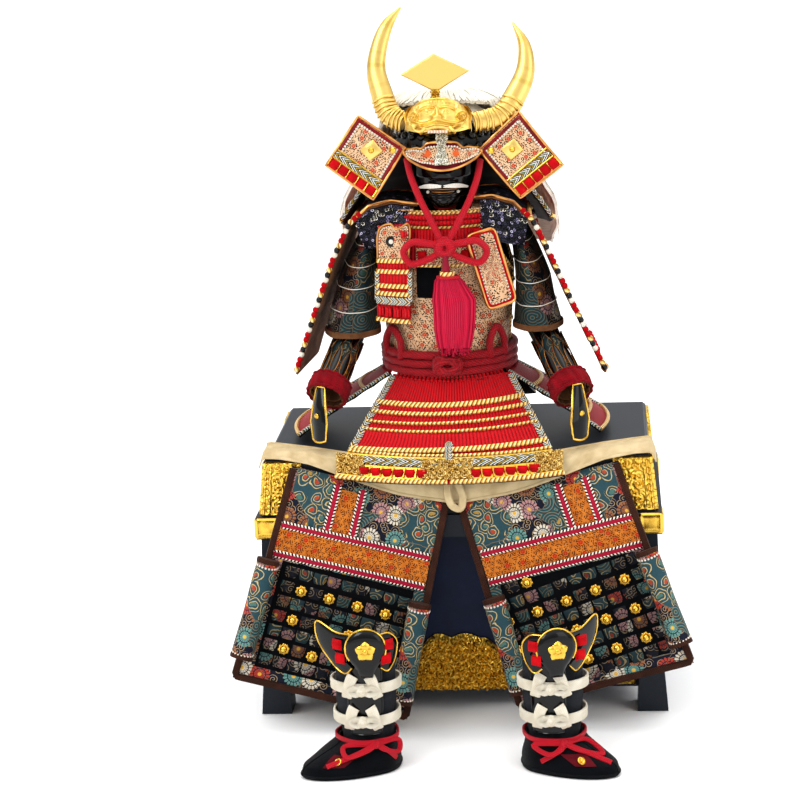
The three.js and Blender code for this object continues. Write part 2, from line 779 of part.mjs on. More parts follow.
function skirtFront(table, toward) {
  const middle = -6;
  return sheet({
    point: (u, v) => {
      const row = rowAt(table, 's', v);
      const s = 2 * u - 1;
      return V(middle + row.half * s, row.y - toward * row.bow * s * s, row.z + 5 * s * s * v);
    },
    inward: () => V(0, -toward, -0.6),
    wall: SKIRT_WALL,
    nu: 10,
    nv: 7,
  });
}
function skirtSide(hand) {
  return sheet({
    point: (u, v) => {
      const row = rowAt(SIDE_SKIRT, 's', v);
      const s = 2 * u - 1;
      return V(BODY.x + hand * (row.reach - 8 * s * s), lerp(row.front, row.back, u), row.z);
    },
    inward: () => V(-hand, 0, -1),
    wall: SKIRT_WALL,
    nu: 6,
    nv: 5,
  });
}

// ---- Arms ----

function shoulderGuard(hand) {
  return sheet({
    point: (u, v) => {
      const row = rowAt(SHOULDER_GUARDS[hand], 's', v);
      const s = 2 * u - 1;
      const hang = THREE.MathUtils.smoothstep(v, 0.2, 0.6);
      const x = row.x - hand * GUARD_TURN * u * hang;
      return V(x, lerp(row.front, row.back, u), row.z - 2 * s * s * (1 - hang));
    },
    inward: () => V(-hand * 0.8, 0, -0.6),
    wall: GUARD_WALL,
    nu: 8,
    nv: 12,
  });
}

function upperSleeve(hand) {
  const table = UPPER_SLEEVES[hand];
  return sheet({
    point: (u, v) => {
      const row = rowAt(table, 'z', lerp(table[0].z, table[table.length - 1].z, v));
      const angle = 2 * Math.PI * u;
      return V(
        (row.inner + row.outer) / 2 + ((row.outer - row.inner) / 2) * Math.sin(angle),
        (row.front + row.back) / 2 - ((row.back - row.front) / 2) * Math.cos(angle),
        row.z,
      );
    },
    inward: (p) => {
      const row = rowAt(table, 'z', p.z);
      return V((row.inner + row.outer) / 2 - p.x, (row.front + row.back) / 2 - p.y, 0);
    },
    wall: SLEEVE_WALL,
    nu: 16,
    nv: 6,
    closed: true,
  });
}

// A tube of cloth about the forearm's axis, from one place along it to another.
function armTube(hand, from, to, radius, wall, nv) {
  const { elbow, wrist } = FOREARMS[hand];
  const along = wrist.clone().sub(elbow);
  const across = V(1, 0, 0).cross(along).normalize();
  const beside = along.clone().cross(across).normalize();
  return sheet({
    point: (u, v) => {
      const turn = 2 * Math.PI * u;
      const r = radius(v);
      return elbow.clone().addScaledVector(along, lerp(from, to, v))
        .addScaledVector(across, r * Math.cos(turn))
        .addScaledVector(beside, r * Math.sin(turn));
    },
    inward: (p) => {
      const t = p.clone().sub(elbow).dot(along) / along.lengthSq();
      return elbow.clone().addScaledVector(along, t).sub(p);
    },
    wall,
    nu: 14,
    nv,
    closed: true,
  });
}

const lowerSleeve = (hand) => armTube(hand, 0, 0.99, (v) => lerp(14, FOREARM_RADIUS, v), SLEEVE_WALL, 3);
const cuff = (hand) => armTube(hand, 0.84, 1.04, (v) => 20.5 + 1.5 * Math.sin(Math.PI * v), CUFF_WALL, 3);

const HAND_PLATE = [
  { v: 0, aside: 7.2, y: 14.4, rise: 10.5, half: 6 },
  { v: 0.3, aside: 9, y: 7, rise: -11, half: 9.5 },
  { v: 0.6, aside: 9.5, y: 4, rise: -27, half: 12 },
  { v: 1, aside: 9.5, y: 1, rise: -46, half: 9.5 },
];
// A curved plate that comes out of the cuff's mouth and hangs over the back of the hand.
function handPlate(hand) {
  const { wrist } = FOREARMS[hand];
  return sheet({
    point: (u, v) => {
      const s = 2 * u - 1;
      const row = rowAt(HAND_PLATE, 'v', v);
      return V(
        wrist.x + hand * (row.aside + 0.75 * row.half * s - 2 * s * s),
        row.y + 0.65 * row.half * s + 2 * s * s,
        wrist.z + row.rise + 3 * s * s * (v - 0.3),
      );
    },
    inward: () => V(-hand * 0.6, 0.8, 0),
    wall: 1.8,
    nu: 6,
    nv: 6,
  });
}

// ---- Sash and thigh guards ----

// The sash: over the middle it hangs upright, and toward each end it turns over the lid's front edge.
const SASH = [
  { x: 0, y: [-14, -16, -18, -18], z: [263, 254, 244, 232] },
  { x: 60, y: [-10, -15, -18, -18], z: [272, 263, 254, 242] },
  { x: 112, y: [2, -9, -13, -15], z: [283, 277, 266, 253] },
  { x: 152, y: [22, -1, -11, -13], z: [284, 285, 275, 261] },
  { x: 184, y: [38, 8, -9, -12], z: [284, 285.5, 278, 264] },
  { x: 202, y: [46, 14, -8, -12], z: [284, 285.5, 278, 265] },
  { x: 207, y: [44, 16, -6, -9], z: [270, 269, 267, 262] },
];
function sash() {
  const last = SASH.length - 1;
  return sheet({
    point: (u, v) => {
      const place = Math.abs(2 * u - 1) * last;
      const k = Math.min(last - 1, Math.floor(place));
      const j = Math.min(2, Math.floor(v * 3));
      const [low, high] = [SASH[k], SASH[k + 1]];
      const across = (row, key) => lerp(row[key][j], row[key][j + 1], v * 3 - j);
      const blend = (key) => lerp(across(low, key), across(high, key), place - k);
      return V(Math.sign(2 * u - 1) * lerp(low.x, high.x, place - k), blend('y'), blend('z'));
    },
    inward: (p) => V(-Math.sign(p.x) * (Math.abs(p.x) > 203 ? 3 : 0), 1, -0.8),
    wall: 1.5,
    nu: 24,
    nv: 3,
  });
}

// A place on a thigh guard: u from the outer edge to the inner one, v from the top down, moved out by out.
function thighPoint(hand, u, v, out = 0) {
  const corner = THIGH_GUARDS[hand];
  const blend = (k) => lerp(
    lerp(corner.outerTop[k], corner.innerTop[k], u),
    lerp(corner.outerLow[k], corner.innerLow[k], u),
    v,
  );
  const top = lerp(-7, -12, u);
  const y = lerp(top, -62, v ** 0.85);
  return V(blend(0), y - out, blend(1));
}
const toChest = () => V(0, 1, 0);
function thighPatch(hand, { from, to, top, low, wall }, out, nu, nv) {
  return sheet({
    point: (u, v) => thighPoint(hand, lerp(from, to, u), lerp(top, low, v), out),
    inward: toChest,
    wall,
    nu,
    nv,
  });
}
const thighGuard = (hand) => thighPatch(hand, { from: 0, to: 1, top: 0, low: 1, wall: THIGH_WALL }, 0, 6, 8);
const thighBand = (hand) => thighPatch(hand, BAND, PATCH_LIFT + BAND.wall, 6, 1);
const thighStrip = (hand) => thighPatch(hand, STRIPS[hand], PATCH_LIFT + STRIPS[hand].wall, 2, 2);

// The rolled edge of a thigh guard: a tube of cloth open along its back.
function thighRoll(hand, { u: place, top, low }) {
  const slit = 0.35;
  return sheet({
    point: (u, v) => {
      const centre = thighPoint(hand, place, lerp(top, low, v), 13.5);
      const turn = lerp(slit, 2 * Math.PI - slit, u);
      return centre.add(V(ROLL_RADIUS * Math.sin(turn), ROLL_RADIUS * Math.cos(turn), 0));
    },
    inward: (p) => {
      const high = thighPoint(hand, place, top).z;
      const deep = thighPoint(hand, place, low).z;
      return thighPoint(hand, place, lerp(top, low, (p.z - high) / (deep - high)), 13.5).sub(p);
    },
    wall: 2.2,
    nu: 10,
    nv: 3,
  });
}

// ---- Legs ----

function shin(hand) {
  const leg = LEGS[hand];
  return sheet({
    point: (u, v) => {
      const row = rowAt(SHIN, 'z', lerp(128, 14, v));
      const angle = 2 * Math.PI * u;
      return V(leg.x + row.half * Math.sin(angle), leg.y - row.deep * Math.cos(angle), row.z);
    },
    inward: (p) => V(leg.x - p.x, leg.y - p.y, 0),
    wall: 2,
    nu: 14,
    nv: 4,
    closed: true,
  });
}

// The knee plate: a round boss between two wings that turn back round the leg, the outer one the longer.
const KNEE = { boss: 20, thick: 2.5, aside: 4, turn: 0.6, height: 132 };
const KNEE_WINGS = [
  { toward: 1, outline: [[0, 14], [18, 14], [42, 22], [40, 8], [28, -12], [8, -26], [0, -20]] },
  { toward: -1, outline: [[0, 14], [12, 13], [20, 2], [17, -14], [10, -24], [0, -20]] },
];
function kneePlate(hand) {
  const leg = LEGS[hand];
  const plate = (outline) => new THREE.ExtrudeGeometry(outline, {
    depth: KNEE.thick,
    curveSegments: 8,
    bevelEnabled: false,
  }).rotateX(Math.PI / 2);
  const boss = new THREE.Shape();
  boss.moveTo(-8, -27);
  boss.lineTo(8, -27);
  boss.absarc(0, 0, KNEE.boss, -0.6, Math.PI + 0.6, false);
  const wings = KNEE_WINGS.map(({ toward, outline }) => {
    const facing = toward * hand;
    const points = outline.map(([x, y]) => new THREE.Vector2(x * facing, y));
    const wingPlate = plate(new THREE.Shape(points));
    return wingPlate.rotateZ(KNEE.turn * facing).translate(facing * 14, 1, 0);
  });
  return join(plate(boss), ...wings)
    .rotateZ(leg.kneeYaw)
    .translate(leg.x + KNEE.aside, leg.y - leg.kneeAhead, KNEE.height);
}

// A boot: wide at the ankle's foot, pointed at the toe, turned outward, open at the top for the shin.
function boot(hand) {
  const leg = LEGS[hand];
  const centre = V(leg.x, leg.y, 0);
  const ahead = V(hand * Math.sin(BOOT.splay), -Math.cos(BOOT.splay), 0);
  const beside = V(ahead.y, -ahead.x, 0);
  const sides = 16;
  const outline = (angle) => {
    const long = Math.cos(angle) > 0 ? BOOT.toe : BOOT.heel;
    const along = long * Math.cos(angle);
    const wide = BOOT.wide * Math.sign(Math.sin(angle)) * Math.abs(Math.sin(angle)) ** 1.15;
    return centre.clone().addScaledVector(ahead, along).addScaledVector(beside, wide);
  };
  const mouth = (angle) => centre.clone()
    .addScaledVector(ahead, BOOT.mouth * Math.cos(angle))
    .addScaledVector(beside, BOOT.mouth * Math.sin(angle));
  const rings = (inset) => [
    { z: inset ? BOOT.sole : 0, t: 0.02 },
    { z: 9, t: 0 },
    { z: 16, t: 0.35 },
    { z: 25, t: 0.78 },
    { z: BOOT.high + (inset ? 1 : 0), t: 1 },
  ].map(({ z, t }) => Array.from({ length: sides }, (_, i) => {
    const angle = (2 * Math.PI * i) / sides;
    const out = outline(angle).lerp(mouth(angle), t).sub(centre);
    return centre.clone().add(out.setLength(out.length() - inset)).setZ(z);
  }));
  return cut(loft(rings(0)), loft(rings(BOOT.wall)));
}

// ---- The whole ----

add('chest_lid', 'chestLacquer', chestLid());
add('chest_body', 'chestLacquer', chestBody());
add('chest_ledge', 'chestLacquer', chestLedge());
add('chest_apron', 'gilt', chestApron());
add('stand', 'wood', stand());

add('helmet_bowl', 'lacquer', helmetBowl());
add('helmet_neck_guard', 'lacing', neckGuard());
add('helmet_visor', 'leather', visor());
add('helmet_lion', 'gilt', lionCrest());
add('helmet_crest_plate', 'paleGilt', crestPlate());
add('helmet_hair', 'hair', hair());
add('face_mask', 'lacquer', faceMask());
add('cord_bow', 'cord', cordBow());
add('cord_tassel', 'tassel', tassel());

add('cuirass_front', 'leather', cuirassHalf(true));
add('cuirass_back', 'lacing', cuirassHalf(false));
add('chest_plate', 'lacing', chestPlate());
add('waist_rope', 'rope', waistRope());
add('skirt_front', 'lacing', skirtFront(FRONT_SKIRT, -1));
add('skirt_back', 'lacing', skirtFront(BACK_SKIRT, 1));
add('sash', 'cream', sash());

for (const hand of [LEFT, RIGHT]) {
  const end = side(hand);
  add(`helmet_wing_${end}`, 'leather', wing(hand));
  add(`helmet_horn_${end}`, 'paleGilt', horn(hand));
  add(`helmet_cord_${end}`, 'cord', helmetCord(hand));
  add(`shoulder_strap_${end}`, 'leather', shoulderStrap(hand));
  add(`breast_plate_${end}`, hand === LEFT ? 'lacing' : 'leather', breastPlate(hand));
  add(`skirt_side_${end}`, 'lacing', skirtSide(hand));
  add(`shoulder_guard_${end}`, 'lacing', shoulderGuard(hand));
  add(`sleeve_upper_${end}`, 'brocade', upperSleeve(hand));
  add(`sleeve_lower_${end}`, 'brocade', lowerSleeve(hand));
  add(`cuff_${end}`, 'lacing', cuff(hand));
  add(`hand_plate_${end}`, 'lacquer', handPlate(hand));
  add(`thigh_guard_${end}`, 'brocade', thighGuard(hand));
  add(`thigh_band_${end}`, 'bandLeather', thighBand(hand));
  add(`thigh_strip_${end}`, 'bandLeather', thighStrip(hand));
  for (const roll of ROLLS) add(`thigh_roll_${roll.name}_${end}`, 'brocade', thighRoll(hand, roll));
  add(`knee_plate_${end}`, 'lacquer', kneePlate(hand));
  add(`shin_${end}`, 'lacquer', shin(hand));
  add(`boot_${end}`, 'velvet', boot(hand));
}

const extent = new THREE.Box3().setFromObject(armour);
armour.position.set(-(extent.min.x + extent.max.x) / 2, -(extent.min.y + extent.max.y) / 2, -extent.min.z);

export default armour;
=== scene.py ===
import random
from functools import partial
from math import asin, atan2, copysign, cos, exp, pi, radians, sin, sqrt

import bpy
import numpy as np
from numpy import linspace
from mathutils import Matrix, Vector


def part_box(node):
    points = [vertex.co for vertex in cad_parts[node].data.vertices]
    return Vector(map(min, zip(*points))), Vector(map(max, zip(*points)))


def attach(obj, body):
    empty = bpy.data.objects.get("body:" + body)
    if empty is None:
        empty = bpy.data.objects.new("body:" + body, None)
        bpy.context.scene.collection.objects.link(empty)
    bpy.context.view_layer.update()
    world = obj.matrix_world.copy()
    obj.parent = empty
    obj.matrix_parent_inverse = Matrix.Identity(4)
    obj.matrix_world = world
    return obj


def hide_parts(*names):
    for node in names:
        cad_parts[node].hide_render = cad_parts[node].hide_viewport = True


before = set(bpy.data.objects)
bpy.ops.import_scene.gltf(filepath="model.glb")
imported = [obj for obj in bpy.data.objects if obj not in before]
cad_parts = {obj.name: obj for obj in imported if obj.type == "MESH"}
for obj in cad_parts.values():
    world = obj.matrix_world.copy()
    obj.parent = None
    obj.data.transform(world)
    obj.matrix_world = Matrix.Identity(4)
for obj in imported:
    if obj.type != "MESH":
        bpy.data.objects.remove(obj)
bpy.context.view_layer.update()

bl_info = {"name": "Samurai Armour", "version": (1, 0, 0), "blender": (4, 5, 0),
    "location": "3D View > Sidebar > Armour",
    "description": "Dresses a suit of samurai armour seated on its armour chest", "category": "Object"}

MM = 0.001
LEFT, RIGHT = -1, 1
SIDES = ((LEFT, "l"), (RIGHT, "r"))

# Places are in millimetres from the middle of the chest's front edge, and moved by where the lid is.
LID_LOW, LID_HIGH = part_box("chest_lid")
LID_MIDDLE_Y = 111
SHIFT = np.array([(LID_LOW.x + LID_HIGH.x) / 2 / MM, (LID_LOW.y + LID_HIGH.y) / 2 / MM - LID_MIDDLE_Y, 0.0])


# ---- Numbers ----

def at(*place):
    return np.array(place, float)


AHEAD, BACK, UP = at(0, -1, 0), at(0, 1, 0), at(0, 0, 1)


def lerp(a, b, t):
    return a + (b - a) * t


def smooth(low, high, value):
    t = np.clip((value - low) / (high - low), 0, 1)
    return t * t * (3 - 2 * t)


def turns(count):
    """Angles evenly round a circle."""
    return linspace(0, 2 * pi, count, endpoint=False)


def unit(v):
    v = np.asarray(v, float)
    return v / np.maximum(np.linalg.norm(v, axis=-1, keepdims=True), 1e-9)


def steps_of(points, axis=0):
    """The lengths of the steps between neighbouring points."""
    return np.linalg.norm(np.diff(points, axis=axis), axis=-1)


def summed(steps):
    """How far along after each step, from nothing."""
    return np.concatenate([[0], np.cumsum(steps)])


def row_at(rows, place):
    """A table's row at a place along its first column, the other columns worked out between two rows."""
    table = np.array(sorted(rows), float)
    return [np.interp(place, table[:, 0], table[:, k]) for k in range(1, table.shape[1])]


def curve(points, steps):
    """Points along a smooth line through the given ones."""
    keys = np.array(points, float)
    gaps = np.maximum(steps_of(keys), 1e-6) ** 0.5
    knots = summed(gaps)
    slopes = np.gradient(keys, knots, axis=0)
    place = linspace(0, knots[-1], steps + 1)
    k = np.clip(np.searchsorted(knots, place, side="right") - 1, 0, len(keys) - 2)
    span = (knots[k + 1] - knots[k])[:, None]
    t = ((place - knots[k]) / span[:, 0])[:, None]
    return ((2 * t**3 - 3 * t**2 + 1) * keys[k] + (t**3 - 2 * t**2 + t) * span * slopes[k] + (3 * t**2 - 2
        * t**3) * keys[k + 1] + (t**3 - t**2) * span * slopes[k + 1])


def resample(points, step):
    """The same line cut into even steps, in millimetres."""
    line = np.array(points, float)
    run = summed(steps_of(line))
    places = linspace(0, run[-1], max(2, int(round(run[-1] / step)) + 1))
    return np.stack([np.interp(places, run, line[:, k]) for k in range(3)], axis=1)


def linear(hex_colour):
    """An sRGB hex colour, or one of the user's colours by its name, as linear light with full alpha."""
    if hex_colour[0] != "#":
        return (*getattr(colours(), hex_colour), 1.0)
    parts = [int(hex_colour[k:k + 2], 16) / 255 for k in (1, 3, 5)]
    return tuple(c / 12.92 if c <= 0.04045 else ((c + 0.055) / 1.055) ** 2.4 for c in parts) + (1.0,)


# ---- Sizes and colours that a user would change ----

def size(name, words, millimetres):
    return bpy.props.FloatProperty(name=name, description=words, default=millimetres * MM, min=0.0001,
        subtype="DISTANCE", unit="LENGTH")


def colour(name, words, hex_colour):
    return bpy.props.FloatVectorProperty(name=name, description=words, default=linear(hex_colour)[:3], size=3,
        min=0, max=1, subtype="COLOR")


class ArmourSizes(bpy.types.PropertyGroup):
    lace: size("Lace pitch", "Distance between neighbouring upright laces", 3.6)
    blossom: size("Blossom", "Width of a flower in the brocade", 21)
    stud: size("Stud", "Width of a domed stud on the thigh guards", 11)
    cord: size("Chin cord", "Thickness of the chin cord", 7.2)
    strand: size("Hair strand", "Thickness of one lock of the white hair", 1.5)
    binding: size("Binding", "Width of the leather binding on the thigh guards", 7.5)


class ArmourColours(bpy.types.PropertyGroup):
    lacing: colour("Lacing", "Silk laces of the cuirass and skirts", "#c80d1c")
    # Painted shade: a darker copy of the lacing colour, for the laces of the side skirts, back skirt and neck
    # guard, which sit in shade.
    dark_lacing: colour("Dark lacing", "Silk laces of the side panels and the waist rope", "#a00c1b")
    cord: colour("Cord", "Chin cord and its bow", "#d3102a")
    tassel: colour("Tassel", "Silk threads of the tassel", "#cf1a45")
    gilt: colour("Gilt", "Gilt metal of the crest and fittings", "#e9bf55")
    pale_gilt: colour("Pale gilt", "Satin gilt of the horns and crest plates", "#e6c678")
    lacquer: colour("Lacquer", "Black lacquer of the mask and knee plates", "#050608")
    chest: colour("Chest", "Lacquer of the armour chest", "#272c34")
    leather: colour("Leather", "Printed deerskin of the cuirass and helmet", "#dfbd9b")
    cream: colour("Cream", "Cotton of the sash and leg ties", "#dfcba3")


def sizes():
    return bpy.context.scene.armour_sizes


def colours():
    return bpy.context.scene.armour_colours


# ---- Making pieces ----

def net(point, wide, high):
    """Rows of points of a surface given by its own function of (across, down), each from 0 to 1."""
    return np.array([[point(i / wide, j / high) for i in range(wide + 1)] for j in range(high + 1)], float)


def across(point, v, out, count, low=0.0, high=1.0):
    """Places across a surface of (u, v, out), at one height."""
    return np.array([point(u, v, out) for u in linspace(low, high, count)])


def down(point, u, out, count, low=0.0, high=1.0):
    """Places down it, at one distance across."""
    return np.array([point(u, v, out) for v in linspace(low, high, count)])


def edge_loop(point, wide, high, counts, out):
    """Places all round the part of a surface between two distances across and two down."""
    sides = (across(point, high[0], out, counts[0], *wide), down(point, wide[1], out, counts[1], *high),
        across(point, high[1], out, counts[0], *wide[::-1]), down(point, wide[0], out, counts[1],
        *high[::-1]))
    return np.concatenate([side[:-1] for side in sides])


def part_of(point, wide, high, out, count, rows):
    """A net over part of a surface, between two distances across and two down."""
    return net(lambda u, v: point(lerp(*wide, u), lerp(*high, v), out), count, rows)


def over_face(corner, x, z, lift, right, up, out):
    """A net standing off a flat face by its lift at each x and z."""
    return corner + x[..., None] * right + z[..., None] * up + lift[..., None] * out


def sunk(lift):
    """The lift, with nothing left along its edges."""
    lift[0], lift[-1], lift[:, 0], lift[:, -1] = 0, 0, 0, 0
    return lift


def between(top_a, top_b, low_a, low_b, u, v):
    """A place between four corners."""
    return lerp(lerp(at(*top_a), at(*top_b), u), lerp(at(*low_a), at(*low_b), u), v)


class Stock:
    """Points, faces, places on the cloth and finishes gathered for one piece."""

    def __init__(self):
        self.points, self.faces, self.corners, self.finish = [], [], [], []
        self.count = 0

    def add(self, points, faces, corners, finish=0):
        points = np.asarray(points, float).reshape(-1, 3)
        self.points.append(points)
        self.faces.extend([[i + self.count for i in face] for face in faces])
        self.corners.extend(corners)
        self.finish.extend([finish] * len(faces))
        self.count += len(points)

    def grid(self, points, finish=0, closed=False, uv=None, flip=False):
        """A net of four-sided faces over rows of points. closed joins each row's end to its start."""
        rows, columns = points.shape[:2]
        wide = columns if closed else columns - 1
        if uv is None:
            ring = np.concatenate([points, points[:, :1]], axis=1) if closed else points
            uv = np.stack(np.meshgrid(summed(steps_of(ring, 1).mean(axis=0)),
                summed(steps_of(points).mean(axis=1))), axis=-1)
        j, i = np.meshgrid(np.arange(rows - 1), np.arange(wide), indexing="ij")
        after = (i + 1) % columns
        faces = np.stack([j * columns + i, j * columns + after, (j + 1) * columns + after, (j + 1) * columns
            + i], -1)
        corners = np.stack([uv[j, i], uv[j, i + 1], uv[j + 1, i + 1], uv[j + 1, i]], axis=2)
        if flip:
            faces, corners = faces[..., ::-1], corners[:, :, ::-1]
        self.add(points, faces.reshape(-1, 4).tolist(), corners.reshape(-1, 2).tolist(), finish)

    def slab(self, points, wall, toward, finish=0, back=None, rim=None, closed=False, uv=None):
        """A wall of even thickness: a face, its back and the rims between. toward points to its back."""
        across = np.gradient(points, axis=1)
        if closed:
            across = (np.roll(points, -1, axis=1) - np.roll(points, 1, axis=1)) / 2
        normal = unit(np.cross(across, np.gradient(points, axis=0)))
        backward = (normal * toward).sum(-1, keepdims=True) > 0
        normal *= np.where(backward, 1.0, -1.0)
        flip = backward.mean() > 0.5
        inner = points + normal * wall
        back = finish if back is None else back
        rim = back if rim is None else rim
        self.grid(points, finish, closed, uv, flip)
        self.grid(inner, back, closed, uv, not flip)
        for k in (0, -1):
            self.grid(np.stack([points[k], inner[k]]), rim, closed, flip=flip if k else not flip)
            if not closed:
                self.grid(np.stack([points[:, k], inner[:, k]]), rim, flip=not flip if k else flip)

    def sweep(self, path, section, ups=None, finish=0, taper=None, turn=None, flat=False, closed=False,
            caps=True):
        """A section of (aside, up) offsets carried along a line, facing ups where they are given."""
        path = np.asarray(path, float)
        section = np.asarray(section, float)
        ahead = np.gradient(path, axis=0)
        if closed:
            ahead = np.roll(path, -1, axis=0) - np.roll(path, 1, axis=0)
        ahead = unit(ahead)
        if ups is None:
            first = UP if abs(ahead[0][2]) < 0.9 else AHEAD
            ups = [first]
            for k in range(1, len(path)):
                ups.append(unit(ups[-1] - ahead[k] * np.dot(ups[-1], ahead[k])))
        ups = np.broadcast_to(np.asarray(ups, float), path.shape)
        ups = unit(ups - ahead * (ups * ahead).sum(-1, keepdims=True))
        aside = np.cross(ahead, ups)
        scale = np.ones((len(path), 2)) if taper is None else np.asarray(taper, float).reshape(len(path), -1)
        spin = np.zeros(len(path)) if turn is None else np.asarray(turn, float)
        x = section[None, :, 0] * scale[:, :1]
        y = section[None, :, 1] * scale[:, -1:]
        a = x * np.cos(spin)[:, None] - y * np.sin(spin)[:, None]
        b = x * np.sin(spin)[:, None] + y * np.cos(spin)[:, None]
        points = path[:, None] + a[..., None] * aside[:, None] + b[..., None] * ups[:, None]
        run = summed(steps_of(path))
        round_about = np.concatenate([section, section[:1]])
        girth = summed(steps_of(round_about))
        across = round_about[:, 0] if flat else girth
        uv = np.stack([np.repeat(run[:, None], len(across), 1), np.repeat(across[None], len(run), 0)],
            axis=-1)
        if closed:
            points = np.concatenate([points, points[:1]])
            uv = np.concatenate([uv, uv[-1:] + uv[1:2] - uv[:1]])
        self.grid(points, finish, True, uv)
        if caps and not closed:
            for k in (0, -1):
                ring = points[k]
                self.add(ring, [list(range(len(ring)))], uv[k][:-1].tolist(), finish)

    def trims(self, point, places, out, size, ups, finish, count, low=0.0, high=1.0, run=across):
        """Flat cords laid across a surface at each place down it, or down it at each place across."""
        for place in places:
            self.sweep(run(point, place, out, count, low, high), ribbon(*size), ups, finish, flat=True)

    def turned(self, places, profile, sides=12, finish=0):
        """A turned shape, from (radius, height) rows, standing at each (centre, axis)."""
        profile = np.asarray(profile, float)
        angle = turns(sides)
        for centre, axis in places:
            axis = unit(axis)
            aside = unit(np.cross(axis, UP if abs(axis[2]) < 0.9 else at(1, 0, 0)))
            ahead = np.cross(axis, aside)
            spoke = np.cos(angle)[:, None] * aside + np.sin(angle)[:, None] * ahead
            points = np.asarray(centre, float) + profile[:, None, :1] * spoke + profile[:, None, 1:] * axis
            self.grid(points, finish, True)

    def pads(self, places, wide, high, deep, finish=0, steps=6, square=4, stretch=1.0):
        """Small stuffed squares at each (centre, right, up), with the cloth's places kept in step."""
        s = linspace(-1, 1, steps + 1)
        x, y = np.meshgrid(s, s)
        lift = ((1 - np.abs(x) ** square) * (1 - np.abs(y) ** square)) ** 0.5
        for k, (centre, right, up) in enumerate(places):
            right, up = unit(right), unit(up)
            out = np.cross(right, up)
            points = (np.asarray(centre, float) + x[..., None] * right * wide / 2 + y[..., None] * up * high
                / 2 + lift[..., None] * out * deep)
            uv = np.stack([x * wide / 2, y * high / 2], axis=-1) * stretch + [37.0 * k, 23.0 * k]
            self.grid(points, finish, uv=uv)

    def piece(self, name, finishes, stands_for=(), sharp=45):
        """The gathered stock as one object that rides with the armour."""
        mesh = bpy.data.meshes.new(name)
        points = (np.concatenate(self.points) + SHIFT) * MM
        mesh.from_pydata(points.tolist(), [], self.faces)
        mesh.uv_layers.new(name="cloth").data.foreach_set("uv", np.asarray(self.corners, np.float32).ravel())
        for kind in finishes:
            mesh.materials.append(finish(kind))
        mesh.polygons.foreach_set("material_index", self.finish)
        mesh.polygons.foreach_set("use_smooth", [True] * len(mesh.polygons))
        mesh.set_sharp_from_angle(angle=radians(sharp))
        made = bpy.data.objects.new(name, mesh)
        bpy.context.scene.collection.objects.link(made)
        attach(made, "root")
        if stands_for:
            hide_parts(*stands_for)
        return made


def disc(radius, sides=10, squash=1.0):
    angle = turns(sides)
    return np.stack([radius * np.cos(angle), radius * squash * np.sin(angle)], axis=1)


def ribbon(wide, thick):
    """The section of a flat strip with softly rounded edges."""
    w, t = wide / 2, thick / 2
    return [(-w, 0), (-w * 0.8, t), (0, t * 1.15), (w * 0.8, t), (w, 0), (w * 0.8, -t), (0, -t),
        (-w * 0.8, -t)]


def lobed(radius, lobes, depth, sides=12):
    """A rope's section: its strands stand out as lobes."""
    angle = turns(sides)
    reach = radius * (1 - depth + depth * np.abs(np.cos(lobes * angle / 2)))
    return np.stack([reach * np.cos(angle), reach * np.sin(angle)], axis=1)


def kept_node(node, kind, bevel=0):
    """A CAD node that keeps its shape gets its finish, and a softened edge."""
    part = bpy.data.objects[node] if node in bpy.data.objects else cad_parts[node]
    if len(part.material_slots) == 0:
        part.data.materials.append(finish(kind))
    for held in part.material_slots:
        held.material = finish(kind)
    if bevel:
        edge = part.modifiers.new("soft edge", "BEVEL")
        edge.width = bevel * MM
        edge.segments = 2
        edge.limit_method = "ANGLE"


# ---- Finishes ----

def add_node(tree, kind, inputs=(), **settings):
    """Add a node with its settings and links. A kind in capitals is a sum, and a node given as an input
    stands for its first open output."""
    if kind.isupper():
        kind, settings["operation"] = "Math", kind
    made = tree.nodes.new("ShaderNode" + kind)
    stops = settings.pop("stops", None)
    for key, value in settings.items():
        setattr(made, key, value)
    if stops:
        ramp = made.color_ramp
        ramp.interpolation = "CONSTANT" if stops[0] == "steps" else "LINEAR"
        stops = stops[1:] if stops[0] == "steps" else stops
        while len(ramp.elements) < len(stops):
            ramp.elements.new(1)
        for element, (place, tint) in zip(ramp.elements, stops):
            element.position = place
            element.color = linear(tint) if isinstance(tint, str) else (tint, tint, tint, 1)
    usable = [socket for socket in made.inputs if socket.enabled]
    for key, value in inputs.items() if isinstance(inputs, dict) else enumerate(inputs):
        socket = usable[key] if isinstance(key, int) else next(s for s in usable if s.name == key)
        if isinstance(value, bpy.types.Node):
            value = next(output for output in value.outputs if output.enabled)
        if isinstance(value, bpy.types.NodeSocket):
            tree.links.new(value, socket)
        elif value is not None:
            socket.default_value = value
    return made


def blank(name, settings):
    """A new material with its shader's own settings, and the cloth's own places in millimetres."""
    made = bpy.data.materials.new(name)
    made.use_nodes = True
    tree = made.node_tree
    tree.nodes.clear()
    put = partial(add_node, tree)
    shader = put("BsdfPrincipled", settings)
    put("OutputMaterial", [shader])
    place = put("UVMap", uv_map="cloth")
    return made, put, shader, place


def cloth_like(rough, sheen=0.05, glint=0.2):
    """Shader settings of threads: little of the mirror's glint, and a faint sheen."""
    return {"Roughness": rough, "Sheen Weight": sheen, "Sheen Roughness": 0.4, "Specular IOR Level": glint}


def tone(shader, tint):
    shader.id_data.links.new(next(o for o in tint.outputs if o.enabled), shader.inputs["Base Color"])


def raise_by(shader, height, depth):
    """Relief from a height between 0 and 1, this many millimetres deep."""
    tree = shader.id_data
    relief = add_node(tree, "Bump", {"Strength": 1.0, "Distance": depth * MM, "Height": height})
    tree.links.new(relief.outputs[0], shader.inputs["Normal"])


